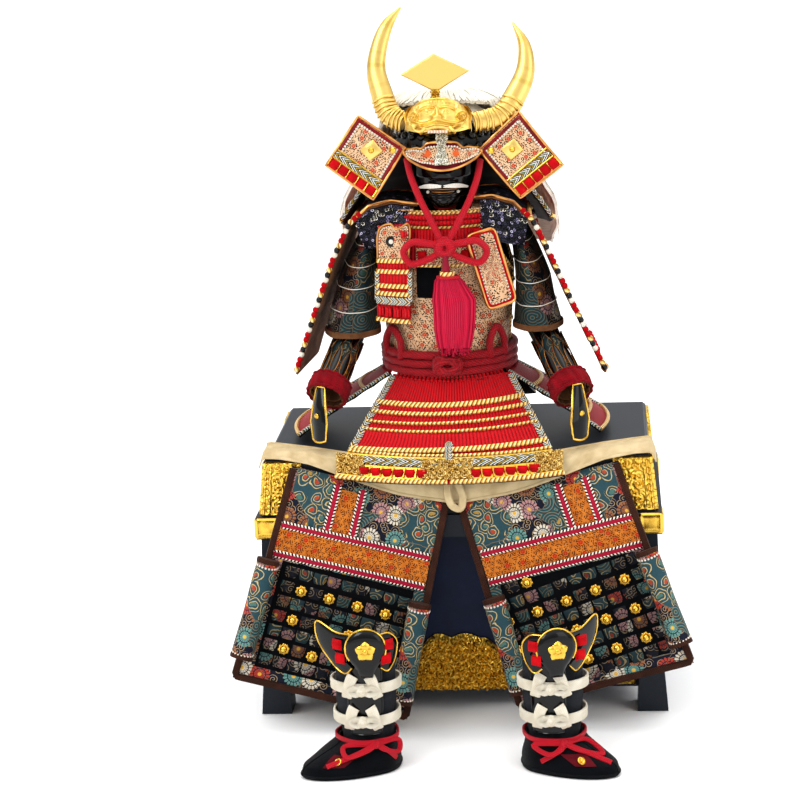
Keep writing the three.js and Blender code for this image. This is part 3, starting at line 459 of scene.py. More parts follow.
def turn_about(put, place, spacing, jitter=1.0):
    """Cells scattered over the cloth: each point's distance and angle in its cell, and a chance tint."""
    cell = put("TexVoronoi", {"Vector": place, "Scale": 1 / spacing, "Randomness": jitter},
        voronoi_dimensions="2D")
    away = put("VectorMath", [place, cell.outputs["Position"]], operation="SUBTRACT")
    apart = put("SeparateXYZ", [away])
    angle = put("ARCTAN2", [apart.outputs[1], apart.outputs[0]])
    reach = put("VectorMath", [away], operation="LENGTH")
    chance = put("SeparateColor", [cell.outputs["Color"]])
    return reach.outputs["Value"], angle, chance


def petals(put, reach, angle, radius, count):
    """Where a many-petalled flower lies, and the dark lines between its petals."""
    swing = put("COSINE", [put("MULTIPLY", [angle, count / 2])])
    lobe = put("ABSOLUTE", [swing])
    edge = put("MULTIPLY_ADD", [lobe, 0.22 * radius, 0.8 * radius])
    inside = put("LESS_THAN", [reach, edge])
    gap = put("LESS_THAN", [lobe, 0.36])
    beyond = put("GREATER_THAN", [reach, 0.26 * radius])
    ring = put("COMPARE", [reach, 0.58 * radius, 0.045 * radius])
    line = put("MAXIMUM", [put("MULTIPLY", [gap, beyond]), ring])
    return inside, line


def curls(put, reach, angle, pitch, thin, farthest, broken=0):
    """Spiral tendrils about each cell's middle, as a line. broken cuts them into that many dashes a turn."""
    wound = put("MULTIPLY_ADD", [reach, 1 / pitch, put("MULTIPLY", [angle, 0.5 / pi])])
    phase = put("FLOORED_MODULO", [wound, 1.0])
    line = put("COMPARE", [phase, 0.5, thin])
    near = put("LESS_THAN", [reach, farthest])
    line = put("MULTIPLY", [line, near])
    if broken:
        beat = put("SINE", [put("MULTIPLY", [angle, broken])])
        line = put("MULTIPLY", [line, put("GREATER_THAN", [beat, -0.1])])
    return line


def over(put, mask, below, above):
    """One tint laid over another where the mask is."""
    return put("Mix", [mask, below, above], data_type="RGBA")


def silk_lacing(name, tint, gap, pitch=None):
    """Twisted silk laces hung side by side: soft upright ridges, shadow between and a dull sheen."""
    made, put, shader, place = blank(name, cloth_like(0.5, 0.06, 0.25))
    apart = put("SeparateXYZ", [place])
    wave = put("MULTIPLY", [apart.outputs[0], pi / (pitch or sizes().lace / MM)])
    ridge = put("ABSOLUTE", [put("SINE", [wave])])
    worn = put("TexNoise", {"Vector": place, "Scale": 1 / 14, "Detail": 4})
    light = put("MULTIPLY_ADD", [worn, 0.7, ridge])
    twist = put("MULTIPLY_ADD", [apart.outputs[1], 2 * pi / 1.9, wave])
    fibre = put("MULTIPLY_ADD", [put("SINE", [twist]), 0.12, light])
    tone(shader, put("ValToRGB", [fibre], stops=[(0.28, gap), (0.75, tint), (1.0, tint)]))
    raise_by(shader, fibre, 1.1)
    return made


def braided_cord(name, tint, gap, pitch, rough=0.5):
    """Silk braided round: slanting plaits run both ways and catch the light in small beads."""
    made, put, shader, place = blank(name, cloth_like(rough, 0.05, 0.3))
    apart = put("SeparateXYZ", [place])
    waves = []
    for slant in (1, -1):
        run = put("MULTIPLY_ADD", [apart.outputs[1], slant * pi / pitch, put("MULTIPLY", [apart.outputs[0],
            pi / pitch])])
        waves.append(put("ABSOLUTE", [put("SINE", [run])]))
    bead = put("MULTIPLY", waves)
    tone(shader, put("ValToRGB", [bead], stops=[(0.0, gap), (0.55, tint)]))
    raise_by(shader, bead, 0.7)
    return made


def striped_braid(name, tints, pitch, slant, rough=0.45):
    """Flat braid of coloured silks: chevrons that meet along its middle, each thread a raised stripe."""
    made, put, shader, place = blank(name, cloth_like(rough, 0.0, 0.3))
    apart = put("SeparateXYZ", [place])
    aside = put("ABSOLUTE", [apart.outputs[1]])
    run = put("MULTIPLY_ADD", [aside, slant, apart.outputs[0]])
    phase = put("FLOORED_MODULO", [put("MULTIPLY", [run, 1 / pitch]), 1.0])
    stops = ["steps"] + [(k / len(tints), tint) for k, tint in enumerate(tints)]
    tone(shader, put("ValToRGB", [phase], stops=stops))
    beat = put("SINE", [put("MULTIPLY", [run, pi * len(tints) / pitch])])
    raise_by(shader, put("ABSOLUTE", [beat]), 0.8)
    return made


def gold_thread_row():
    """Cord of gilt paper thread and pale silk: slanting gold and cream lumps with dark gaps between.
    The cream on each lump's crest is partly a painted highlight, and the dark gaps are painted shade.
    """
    made, put, shader, place = blank("gilt paper thread cord", cloth_like(0.36, 0.0, 0.5))
    apart = put("SeparateXYZ", [place])
    run = put("MULTIPLY_ADD", [apart.outputs[1], 0.55, apart.outputs[0]])
    phase = put("FLOORED_MODULO", [put("MULTIPLY", [run, 1 / 4.6]), 1.0])
    # Each lump runs dark, gold, cream, gold, dark along the cord: the cream crest is partly a painted
    # highlight, and the dark ends are painted shade in the gaps.
    tone(shader, put("ValToRGB", [phase], stops=[(0.0, "#6d3a10"), (0.14, "#c98a25"), (0.45, "#f0c65f"),
        (0.62, "#fbeecb"), (0.82, "#e2ae46"), (0.97, "#7a4512")]))
    lump = put("SINE", [put("MULTIPLY", [phase, pi])])
    raise_by(shader, lump, 1.2)
    return made


def printed_leather(name, ground, ink, flower, spacing, flower_radius):
    """Smoked deerskin printed by stencil: matt pale ground, broken dark tendrils and small orange flowers."""
    made, put, shader, place = blank(name, cloth_like(0.62, 0.0, 0.15))
    stretch = put("TexNoise", {"Vector": place, "Scale": 1 / 24, "Detail": 2})
    drift = put("VectorMath", [stretch.outputs["Color"], (5.0, 5.0, 0.0), place], operation="MULTIPLY_ADD")
    reach, angle, _ = turn_about(put, drift, spacing * 0.42, 0.9)
    ink_line = curls(put, reach, angle, 2.0, 0.24, spacing * 0.34, 3.0)
    far, about, _ = turn_about(put, place, spacing, 0.75)
    blossom, vein = petals(put, far, about, flower_radius, 5)
    halo = put("COMPARE", [far, flower_radius * 1.45, 0.5])
    dotted = put("SINE", [put("MULTIPLY", [about, 9.0])])
    dots = put("MULTIPLY", [halo, put("GREATER_THAN", [dotted, 0.0])])
    mottled = put("TexNoise", {"Vector": place, "Scale": 1 / 9, "Detail": 6})
    skin = put("ValToRGB", [mottled], stops=[(0.3, ground[0]), (0.7, ground[1])])
    inked = over(put, ink_line, skin, linear(ink))
    flowered = over(put, blossom, inked, linear(flower))
    tone(shader, over(put, put("MAXIMUM", [dots, put("MULTIPLY", [vein, blossom])]), flowered, linear(ink)))
    grain = put("TexNoise", {"Vector": place, "Scale": 1.4, "Detail": 3})
    raise_by(shader, grain, 0.12)
    return made


def brocade(name, dull=1.0):
    """Figured silk brocade: patches of night blue with round flowers, teal with gold tendrils, and waves.
    The raised figures are brighter than the ground. Thread is drawn coarser, to show."""
    blossom = sizes().blossom / MM
    made, put, shader, place = blank(name, cloth_like(0.5, 0.03, 0.2))
    patch, second = (put("TexVoronoi", {"Vector": place, "Scale": 1 / 44, "Randomness": 0.9},
        voronoi_dimensions="2D", distance="MANHATTAN", feature=feature) for feature in ("F1", "F2"))
    apart = put("SUBTRACT", [second.outputs["Distance"], patch.outputs["Distance"]])
    seam = put("LESS_THAN", [apart, 0.02])
    kind = put("SeparateColor", [patch.outputs["Color"]])

    reach, angle, chance = turn_about(put, place, blossom * 1.12, 0.7)
    flower, vein = petals(put, reach, angle, blossom / 2, 16)
    petal_tint = put("ValToRGB", [chance.outputs[0]], stops=["steps", (0, "#b0402f"), (0.2, "#cfc6b4"),
        (0.42, "#93603f"), (0.58, "#648f88"), (0.76, "#b08583")])
    heart = put("LESS_THAN", [reach, blossom * 0.09])
    petal_tint = over(put, heart, petal_tint, linear("#d7a83f"))
    petal_tint = over(put, vein, petal_tint, linear("#1b2233"))
    near, about, _ = turn_about(put, place, 9.5, 0.9)
    small_curl = curls(put, near, about, 2.6, 0.15, 5.0)
    night = over(put, small_curl, linear("#0f1528"), linear("#a08a6a"))
    night = over(put, flower, night, petal_tint)

    pull = put("TexNoise", {"Vector": place, "Scale": 1 / 19, "Detail": 2})
    bent = put("VectorMath", [pull.outputs["Color"], (14.0, 14.0, 0.0), place], operation="MULTIPLY_ADD")
    wide, way, fate = turn_about(put, bent, 15.0, 0.9)
    big_curl = curls(put, wide, way, 3.3, 0.14, 8.2)
    leaf, _ = petals(put, wide, way, 2.6, 6)
    leaf_tint = put("ValToRGB", [fate.outputs[1]], stops=["steps", (0, "#a8452c"), (0.4, "#4c6f66"),
        (0.7, "#a8853f")])
    teal = over(put, big_curl, linear("#2c4a52"), linear("#b8a272"))
    teal = over(put, leaf, teal, leaf_tint)

    swell, _, _ = turn_about(put, place, 21.0, 0.35)
    ripple = put("FRACT", [put("MULTIPLY", [swell, 0.34])])
    crest = put("ValToRGB", [ripple], stops=[(0.0, "#1b3f49"), (0.5, "#2d5f63"), (0.66, "#8f9478"),
        (0.74, "#6a4a38"), (1.0, "#18303a")])

    first = put("GREATER_THAN", [kind.outputs[0], 0.62])
    last = put("GREATER_THAN", [kind.outputs[0], 0.88])
    whole = over(put, last, over(put, first, night, teal), crest)
    whole = over(put, seam, whole, linear("#6f6454"))
    thread = put("TexNoise", {"Vector": put("VectorMath", [place, (0.35, 2.4, 1.0)], operation="MULTIPLY"),
        "Scale": 1.0, "Detail": 3})
    shade = put("MULTIPLY_ADD", [thread, 0.9 * dull, 0.55 * dull])
    tone(shader, put("VectorMath", [whole, shade], operation="SCALE"))
    figure = put("MAXIMUM", [put("MAXIMUM", [flower, big_curl]), small_curl])
    raise_by(shader, put("MULTIPLY_ADD", [thread, 0.5, figure]), 0.35)
    return made


def gilt(name, tint, rough, relief=0, deep="#7a4d10", pitch=7.0):
    """Gilt metal. Beaten relief has darker hollows: painted shade in the recesses of the relief."""
    made, put, shader, place = blank(name, {"Roughness": rough, "Metallic": 1.0})
    patchy = put("TexNoise", {"Vector": place, "Scale": 1 / 11, "Detail": 5})
    if relief:
        reach, angle, _ = turn_about(put, place, pitch, 0.8)
        wound = put("MULTIPLY_ADD", [angle, 1.0, put("MULTIPLY", [reach, 2 * pi / (pitch * 0.42)])])
        height = put("MULTIPLY_ADD", [put("SINE", [wound]), 0.5, 0.5])
        grain = put("MULTIPLY_ADD", [patchy, 0.5, height])
        # Painted shade: the relief's hollows take the deep colour, broken up by random patchy tone.
        hollow_shade = put("ValToRGB", [grain], stops=[(0.16, deep), (0.5, tint)])
        tone(shader, hollow_shade)
        raise_by(shader, height, relief)
    else:
        tone(shader, put("ValToRGB", [patchy], stops=[(0.25, deep), (0.5, tint)]))
        raise_by(shader, patchy, 0.06)
    return made


def lacquer(name, tint, rough, grain=0.0, coat=0.0, speck="#000000"):
    """Brushed and polished lacquer: a deep even colour under a clear wet-looking coat."""
    made, put, shader, _ = blank(name, {"Roughness": rough, "Coat Weight": coat, "Coat Roughness": 0.05,
        "Specular IOR Level": 0.22})
    cloudy = put("TexNoise", {"Vector": put("TexCoord").outputs["Object"], "Scale": 900 if grain else 40,
        "Detail": 3})
    tone(shader, put("ValToRGB", [cloudy], stops=[(0.3, speck), (0.75, tint)]))
    raise_by(shader, cloudy, max(grain, 0.02))
    return made


def plain_cloth(name, tint, shade, thread, depth, rough=0.85, sheen=0.04):
    """Plain woven cloth: crossing threads, drawn coarse enough to show, with uneven dye."""
    made, put, shader, place = blank(name, cloth_like(rough, sheen, 0.12))
    apart = put("SeparateXYZ", [place])
    waves = [put("SINE", [put("MULTIPLY", [apart.outputs[k], 2 * pi / thread])]) for k in (0, 1)]
    weave = put("MULTIPLY", waves)
    dye = put("TexNoise", {"Vector": place, "Scale": 1 / 17, "Detail": 6})
    mixed = put("MULTIPLY_ADD", [weave, 0.14, dye])
    tone(shader, put("ValToRGB", [mixed], stops=[(0.2, shade), (0.7, tint)]))
    raise_by(shader, weave, depth)
    return made


def stitched_strip():
    """Crimson leather strip with white silk stitches slanting along both of its edges."""
    made, put, shader, place = blank("crimson strip with white stitches", cloth_like(0.5))
    apart = put("SeparateXYZ", [place])
    aside = put("ABSOLUTE", [apart.outputs[1]])
    edge = put("GREATER_THAN", [aside, 2.1])
    run = put("MULTIPLY_ADD", [aside, 0.5, apart.outputs[0]])
    beat = put("SINE", [put("MULTIPLY", [run, 2 * pi / 3.7])])
    stitch = put("ValToRGB", [beat], stops=["steps", (0, "#2a0c10"), (0.01, "#f4ecdc")])
    tone(shader, over(put, edge, linear("#9c1232"), stitch))
    raise_by(shader, put("MULTIPLY", [beat, edge]), 0.5)
    return made


def ring_mail():
    """Blackened iron mail on cloth: small dark rings with silver-violet glints."""
    made, put, shader, place = blank("blackened ring mail", {"Roughness": 0.34, "Metallic": 0.7})
    reach, _, chance = turn_about(put, place, 3.4, 0.35)
    ring = put("COMPARE", [reach, 1.15, 0.42])
    glint = put("ValToRGB", [chance.outputs[0]], stops=["steps", (0, "#2b2b36"), (0.5, "#3d3b4d"),
        (0.8, "#8d86a8"), (0.93, "#c9c4dc")])
    tone(shader, over(put, ring, linear("#07080c"), glint))
    raise_by(shader, ring, 0.7)
    return made


def hair_lock():
    """White yak hair: fine pale strands with soft grey and straw shadows along their run."""
    made, put, shader, place = blank("white yak hair", cloth_like(0.5, 0.1, 0.2))
    strand = put("TexNoise", {"Vector": put("VectorMath", [place, (1.6, 0.04, 1.0)], operation="MULTIPLY"),
        "Scale": 1.0, "Detail": 3})
    tone(shader, put("ValToRGB", [strand], stops=[(0.25, "#a9a294"), (0.45, "#e3ded2"), (0.7, "#fbfaf6")]))
    raise_by(shader, strand, 0.5)
    return made


# Each finish by its short name: how it is made, and the slot that it belongs to.
FINISHES = {"lacing": (partial(silk_lacing, "crimson silk lacing", "lacing", "#5c040b"), "red_lacing"),
    # Painted shade: the same crimson silk lacing made darker, for laces that sit in shade.
    "dark lacing": (partial(silk_lacing, "shaded crimson silk lacing", "dark_lacing", "#3d040b"), "red_lacing"),
    "cord": (partial(braided_cord, "crimson braided cord", "cord", "#8a0a1e", 2.4), "crimson_cord"),
    "rope": (partial(braided_cord, "dark crimson braided rope", "#b31222", "#560812", 3.0), "dark_rope"),
    "tassel": (partial(silk_lacing, "raw silk tassel threads", "tassel", "#8f0b2c", 1.7), "silk_tassel"),
    "felt": (partial(plain_cloth, "crimson stuffed silk", "#d3111d", "#8f0712", 1.6, 0.3), "red_lacing"),
    "gold row": (gold_thread_row, "gilt_metal"), "mixed braid": (partial(striped_braid,
    "white green and gold braid", ("#fffdf6", "#14161a", "#fffdf6", "#3d7a53", "#fffdf6", "#14161a",
    "#d0a03a"), 9.5, 1.2), "red_lacing"), "zigzag braid": (partial(striped_braid,
    "green white and black zigzag braid", ("#fffdf6", "#17181c", "#cfa13c", "#2f6e4a", "#fffdf6", "#17181c"),
    12.5, 2.2), "red_lacing"), "leather": (partial(printed_leather, "stencilled smoked deerskin",
    ("#cba07b", "leather"), "#1d1412", "#d4674a", 12.5, 2.4), "printed_leather"),
    "orange leather": (partial(printed_leather, "stencilled orange deerskin", ("#a85a1c", "#cc7f31"),
    "#4a2412", "#c4421f", 17.0, 2.6), "orange_leather"), "brocade": (partial(brocade, "figured silk brocade"),
    "brocade"), "dark brocade": (partial(brocade, "figured silk brocade on plates", 0.42), "brocade"),
    "gilt": (partial(gilt, "polished gilt brass", "gilt", 0.27, deep="#b98c36"), "gilt_metal"),
    # In the relief, heaped and pierced gilts the deep colour is painted shade in the relief's hollows.
    "relief gilt": (partial(gilt, "chased gilt brass", "gilt", 0.32, 1.3, "#6e4a14", 7.0), "gilt_metal"),
    "heaped gilt": (partial(gilt, "gilt brass heaped relief", "#ecc65c", 0.36, 0.8, "#7c5618", 13.0),
    "gilt_metal"), "pierced gilt": (partial(gilt, "pierced gilt work", "#efd086", 0.28, 1.3, "#5a3214", 7.5),
    "gilt_metal"), "satin gilt": (partial(gilt, "satin pale gilt", "pale_gilt", 0.34, deep="#cfa955"),
    "pale_gilt"), "lacquer": (partial(lacquer, "polished black lacquer", "lacquer", 0.16, coat=0.35),
    "black_lacquer"), "red lacquer": (partial(lacquer, "vermilion lacquer", "#8f0f17", 0.34, coat=0.1,
    speck="#5e080e"), "black_lacquer"), "chest": (partial(lacquer, "charcoal lacquer over weave", "chest",
    0.42, grain=0.08, speck="#20242b"), "chest_lacquer"), "chest panel": (partial(lacquer,
    "night blue lacquer", "#101f3f", 0.45, speck="#0b1630"), "chest_lacquer"),
    "binding": (partial(plain_cloth, "dark brown leather binding", "#46291d", "#291711", 2.6, 0.25, 0.6,
    0.05), "brocade"), "lining": (partial(plain_cloth, "brown cotton lining", "#7d5638", "#4a2f1e", 1.8, 0.2),
    "brocade"), "cream": (partial(plain_cloth, "unbleached cotton", "cream", "#b79f76", 1.5, 0.2),
    "cream_cotton"), "tie": (partial(plain_cloth, "white cotton tape", "#f8f2e4", "#d2c6aa", 2.2, 0.5),
    "cream_cotton"), "stitch": (partial(plain_cloth, "white silk stitch", "#fffaf0", "#e2d8c4", 1.3, 0.3),
    "cream_cotton"), "strip": (stitched_strip, "orange_leather"), "velvet": (partial(plain_cloth,
    "black cotton velvet", "#0d1016", "#050609", 1.2, 0.15, 0.9, 0.12), "black_velvet"),
    "gaiter": (partial(plain_cloth, "dark grey padded cloth", "#303237", "#17181b", 1.8, 0.3),
    "black_velvet"), "dark cloth": (partial(plain_cloth, "black backing cloth", "#0b0d12", "#050608", 2.0,
    0.3), "brocade"), "cuff": (partial(plain_cloth, "crimson padded cuff cloth", "#9c1020", "#4c0810", 2.4,
    0.5), "cuff_cloth"), "mail": (ring_mail, "black_lacquer"), "hair": (hair_lock, "white_hair"),
    "wood": (partial(plain_cloth, "planed cypress", "#c69a63", "#a87b45", 30.0, 0.05, 0.55, 0.0),
    "stand_wood"), "rim": (partial(gilt, "coppery gilt rim", "#dba262", 0.3, deep="#b8763c"), "gilt_metal"),
    "dark lining": (partial(lacquer, "dark red lacquer", "#1c0708", 0.55, speck="#0e0304"), "black_lacquer"),
    # In the silvered openwork the deep colour is painted shade in the relief's hollows.
    "silver": (partial(gilt, "silvered openwork", "#e4e1d4", 0.26, 0.6, "#6f6a5c", 5.0), "gilt_metal"),
    "bronze": (partial(gilt, "bronze", "#a8743f", 0.35, deep="#6f4522"), "gilt_metal"),
    "lion gilt": (partial(gilt, "warm gilt casting", "#e8c873", 0.32, deep="#b98f3f"), "gilt_metal"),
    "tooth": (partial(plain_cloth, "pale painted teeth", "#f0d9c8", "#d9b7a6", 3.0, 0.05, 0.4, 0.0),
    "gilt_metal"), "orange print": (partial(plain_cloth, "orange printed flowers", "#e0723a", "#c4562a", 1.6,
    0.1, 0.8, 0.0), "printed_leather"), "maroon": (partial(plain_cloth, "maroon leather tongue", "#6f1522",
    "#470b14", 2.0, 0.2, 0.6, 0.0), "black_velvet")}
MADE_FINISHES = {}


def finish(kind):
    if kind not in MADE_FINISHES:
        MADE_FINISHES[kind] = FINISHES[kind][0]()
    return MADE_FINISHES[kind]


# ---- Stage ----

STUDIO = {"low": 0.3, "high": 1.55, "backdrop": 0.1, "glow": 0.8}
CAMERA = {"place": (158, -2495, 940), "turn": 4.9, "down": 13.5, "roll": 2.2, "lens": 112.5}


def build_stage():
    scene = bpy.context.scene
    scene.view_settings.view_transform = "Standard"
    scene.view_settings.look = "Medium High Contrast"
    turn, down, roll = (radians(CAMERA[key]) for key in ("turn", "down", "roll"))
    ahead = Vector((-sin(turn) * cos(down), cos(turn) * cos(down), -sin(down)))
    right = Vector((cos(turn), sin(turn), 0))
    up = right.cross(ahead)
    tilted_right = cos(roll) * right - sin(roll) * up
    tilted_up = sin(roll) * right + cos(roll) * up
    lens = bpy.data.cameras.new("camera")
    lens.lens, lens.sensor_width, lens.clip_end = CAMERA["lens"], 36, 50
    camera = bpy.data.objects.new("camera", lens)
    place = Matrix.Translation(Vector((at(*CAMERA["place"]) + SHIFT) * MM))
    camera.matrix_world = place @ Matrix((tilted_right, tilted_up, -ahead)).transposed().to_4x4()
    scene.collection.objects.link(camera)
    scene.camera = camera

    ground = bpy.data.meshes.new("floor")
    ground.from_pydata([(-60, -60, -0.0005), (60, -60, -0.0005), (60, 60, -0.0005), (-60, 60, -0.0005)], [],
        [(0, 1, 2, 3)])
    paint = bpy.data.materials.new("matt white paper")
    paint.use_nodes = True
    for key, value in (("Base Color", linear("#fbfbfb")), ("Roughness", 0.9), ("Specular IOR Level", 0)):
        paint.node_tree.nodes["Principled BSDF"].inputs[key].default_value = value
    ground.materials.append(paint)
    floor = bpy.data.objects.new("floor", ground)
    scene.collection.objects.link(floor)

    world = bpy.data.worlds.new("studio")
    world.use_nodes = True
    tree = world.node_tree
    tree.nodes["Background"].inputs["Color"].default_value = (1, 1, 1, 1)
    put = partial(add_node, tree)
    way = put("SeparateXYZ", [put("TexCoord")])
    bright = put("MapRange", [way.outputs[2], 0, 1, STUDIO["low"], STUDIO["high"]])
    near = put("LESS_THAN", [way.outputs[2], STUDIO["backdrop"]])
    both = put("MULTIPLY_ADD", [near, STUDIO["glow"], bright.outputs[0]])
    tree.links.new(both.outputs[0], tree.nodes["Background"].inputs["Strength"])
    scene.world = world
    for name, place, aim, wide, power in (("key light", (-1.5, -2.2, 2.3), (0, 0, 0.35), 1.3, 26),
            ("fill light", (2.2, -1.9, 1.3), (0, 0, 0.35), 1.6, 11), ("top light", (0.1, 0.3, 2.6),
            (0, 0, 0.3), 1.6, 12)):
        lamp = bpy.data.lights.new(name, "AREA")
        lamp.size, lamp.energy = wide, power
        held = bpy.data.objects.new(name, lamp)
        held.location = place
        held.rotation_euler = (Vector(aim) - Vector(place)).to_track_quat("-Z", "Y").to_euler()
        scene.collection.objects.link(held)


# ---- Armour chest ----

CHEST = {"half": 198.5, "depth": 222, "lid_low": 218, "flare": 6}


def scroll_height(x, z, seed, spacing, reach):
    """Rolling scrollwork as a height over x and z: curls of two sizes whose crests and hollows meet."""
    chance = random.Random(seed)
    height = np.zeros(np.broadcast(x, z).shape)
    low_x, high_x, low_z, high_z = x.min(), x.max(), z.min(), z.max()
    for row in range(int((high_z - low_z) / spacing) + 2):
        for column in range(int((high_x - low_x) / spacing) + 2):
            cx = low_x + (column + 0.5 * (row % 2) + chance.uniform(-0.2, 0.2)) * spacing
            cz = low_z + (row + chance.uniform(-0.2, 0.2)) * spacing
            r = np.hypot(x - cx, z - cz)
            way = chance.choice((-1, 1))
            curl = np.cos(2 * pi * r / (0.52 * reach) + way * np.arctan2(z - cz, x - cx))
            lump = (0.55 + 0.45 * curl) * np.clip(1 - (r / reach) ** 2, 0, 1)
            height = np.maximum(height, lump)
    return height


def corner_panel(stock, corner, run, tall, foot):
    """A chased panel with a stepped frame, set at a corner and running along the chest's face."""
    out = unit(np.cross(run, UP))
    out = out if np.dot(out, corner - at(0, LID_MIDDLE_Y, corner[2])) > 0 else -out
    x, z = np.meshgrid(linspace(0, 38, 39), linspace(0, tall, int(tall) + 1))
    frame_lift = np.where(x < 3, 2.6, np.where(x < 5, 1.3, np.where(x < 8, 2.3, np.where(x < 9.5, 1.1, 0))))
    edge = np.minimum(np.minimum(z, tall - z), 38 - x)
    frame_lift = np.maximum(frame_lift, np.where(edge < 2.6, 1.9, 0))
    relief = 2.2 * scroll_height(x, z, foot, 9.5, 7.5) * smooth(1.5, 4, edge) * smooth(8, 11, x)
    lift = sunk(np.maximum(frame_lift, relief) + 0.6)
    lean = CHEST["flare"] * (1 - z / 61.0)
    points = over_face(corner, x, z, lift + lean, run, UP, out)
    points += -lean[..., None] * run * (1 - x[..., None] / 38)
    stock.grid(points, 1)


def build_chest():
    for node, kind, bevel in (("chest_lid", "chest", 2.2), ("chest_body", "chest panel", 1.2), ("chest_ledge",
            "chest", 1.6)):
        kept_node(node, kind, bevel)
    kept_node("stand", "wood", 1.5)
    stock = Stock()
    half, depth, low = CHEST["half"], CHEST["depth"], CHEST["lid_low"] + 1
    for hand in (LEFT, RIGHT):
        for y, way in ((0, 1), (depth, -1)):
            corner = at(hand * half, y, low)
            corner_panel(stock, corner, at(-hand, 0, 0), 56, 3 + hand)
            corner_panel(stock, corner, at(0, way, 0), 56, 5 + hand)
    stock.piece("chest_corner_panels", ["gilt", "heaped gilt"], sharp=30)

    caps = Stock()
    for hand in (LEFT, RIGHT):
        for y, way in ((-10, 1), (232, -1)):
            for run, out in ((at(-hand, 0, 0), at(0, -way, 0)), (at(0, way, 0), at(hand, 0, 0))):
                x, z = np.meshgrid(linspace(0, 24, 13), linspace(0, 22, 12))
                rib = sunk(np.where((z < 3) | (z > 19) | (x < 2.5) | (x > 21), 1.8, 0.9))
                caps.grid(over_face(at(hand * 211, y, 194.8), x, z, rib, run, UP, out))
    for hand in (LEFT, RIGHT):
        x, z = np.meshgrid(linspace(0, 34, 35), linspace(0, 14, 15))
        lift = sunk(0.5 + 1.8 * scroll_height(x, z, 9, 8, 6))
        caps.grid(over_face(at(hand * 182, 8, 24), x, z, lift, at(-hand, 0, 0), UP, AHEAD), 1)
    caps.piece("chest_ledge_corners", ["gilt", "heaped gilt"], sharp=30)

    apron = Stock()
    u, v = np.meshgrid(linspace(-1, 1, 181), linspace(0, 1, 91))
    crown = 22 + 34 * smooth(1.0, 0.3, np.abs(u)) + 5.0 * np.abs(np.sin(7.5 * u + 0.6)) * (1 - u * u)
    x, z = 70 * u, v * crown
    edge = smooth(0, 0.1, np.minimum(1 - v, 1 - np.abs(u)))
    relief = scroll_height(x, z, 21, 8.5, 7.6)
    fine = scroll_height(x, z, 22, 5.0, 4.2)
    lift = 2.4 + edge * (4.6 * relief + 2.4 * fine * (1 - 0.5 * relief) + 2.0 * smooth(0.9, 0.2, np.abs(u)))
    points = np.stack([x - 6, 7.7 - lift, z + 22.5], axis=-1)
    apron.slab(points, 1.2, BACK)
    apron.piece("chest_apron_relief", ["heaped gilt"], ("chest_apron",), sharp=60)


# ---- Thigh guards ----

THIGH = {LEFT: ((-170, 272), (-9, 234), (-236, 61), (-56, 13)), RIGHT: ((166, 272), (1, 234), (240, 72),
    (60, 24))}
UPRIGHT = {LEFT: (0.31, 0.47), RIGHT: (0.22, 0.39)}
LATTICE = {LEFT: (at(-153, 176), at(29, -8.5), at(-9.7, -29)), RIGHT: (at(71, 152), at(30, 10.9),
    at(10.4, -29))}


def thigh_point(hand, u, v, out=0.0):
    """A place on a thigh guard: u from its outer edge in, v from the top down, out toward the viewer."""
    x, z = between(*THIGH[hand], u, v)
    swell = 1.1 * sin(7 * v + 2.2 * u) * sin(pi * min(1, max(0, u))) * (v < 0.5)
    y = lerp(lerp(-7, -12, u), -62, max(v, 0) ** 0.85) - out - swell
    return at(x, y, z)


def on_thigh(hand, x, z, out):
    """The place on a thigh guard straight behind x and z."""
    u, v = 0.5, 0.5
    for _ in range(12):
        here = thigh_point(hand, u, v)
        along = (thigh_point(hand, u + 0.01, v) - here) / 0.01
        down = (thigh_point(hand, u, v + 0.01) - here) / 0.01
        step = np.linalg.solve([[along[0], down[0]], [along[2], down[2]]], [x - here[0], z - here[2]])
        u, v = u + step[0], min(1, max(0.01, v + step[1]))
    return thigh_point(hand, u, v, out), u, v


def thigh_cloth(hand, end):
    stock = Stock()
    stock.slab(net(lambda u, v: thigh_point(hand, u, v), 40, 48), 2.6, BACK, 0, 1)
    edge = [thigh_point(hand, 0.0, v, 0.2) for v in linspace(0.0, 0.985, 40)]
    edge += [thigh_point(hand, u, 1.0, 0.2) for u in linspace(0.015, 0.985, 40)]
    edge += [thigh_point(hand, 1.0, v, 0.2) for v in linspace(0.985, 0.0, 40)]
    middle = thigh_point(hand, 0.5, 0.5)
    width = sizes().binding / MM
    inward = unit(middle - np.array(edge)) * width * 0.36
    stock.sweep(np.array(edge) + inward, ribbon(width, 5.2), AHEAD, 2)
    return stock.piece(f"thigh_guard_cloth_{end}", ["brocade", "lining", "binding"], (f"thigh_guard_{end}",))


def thigh_bands(hand, end):
    point = partial(thigh_point, hand)
    band, strip = Stock(), Stock()
    band.slab(part_of(point, (0.03, 0.96), (0.265, 0.395), 2.1, 40, 4), 1.6, BACK)
    band.trims(point, (0.262, 0.398), 2.7, (8.8, 2.2), AHEAD, 1, 60, 0.035, 0.955)
    band.piece(f"thigh_band_leather_{end}", ["orange leather", "strip"], (f"thigh_band_{end}",))
    strip.slab(part_of(point, UPRIGHT[hand], (0.05, 0.25), 2.0, 8, 8), 1.5, BACK)
    strip.trims(point, UPRIGHT[hand], 2.6, (8.8, 2.2), AHEAD, 1, 24, 0.03, 0.25, down)
    strip.piece(f"thigh_strip_leather_{end}", ["orange leather", "strip"], (f"thigh_strip_{end}",))


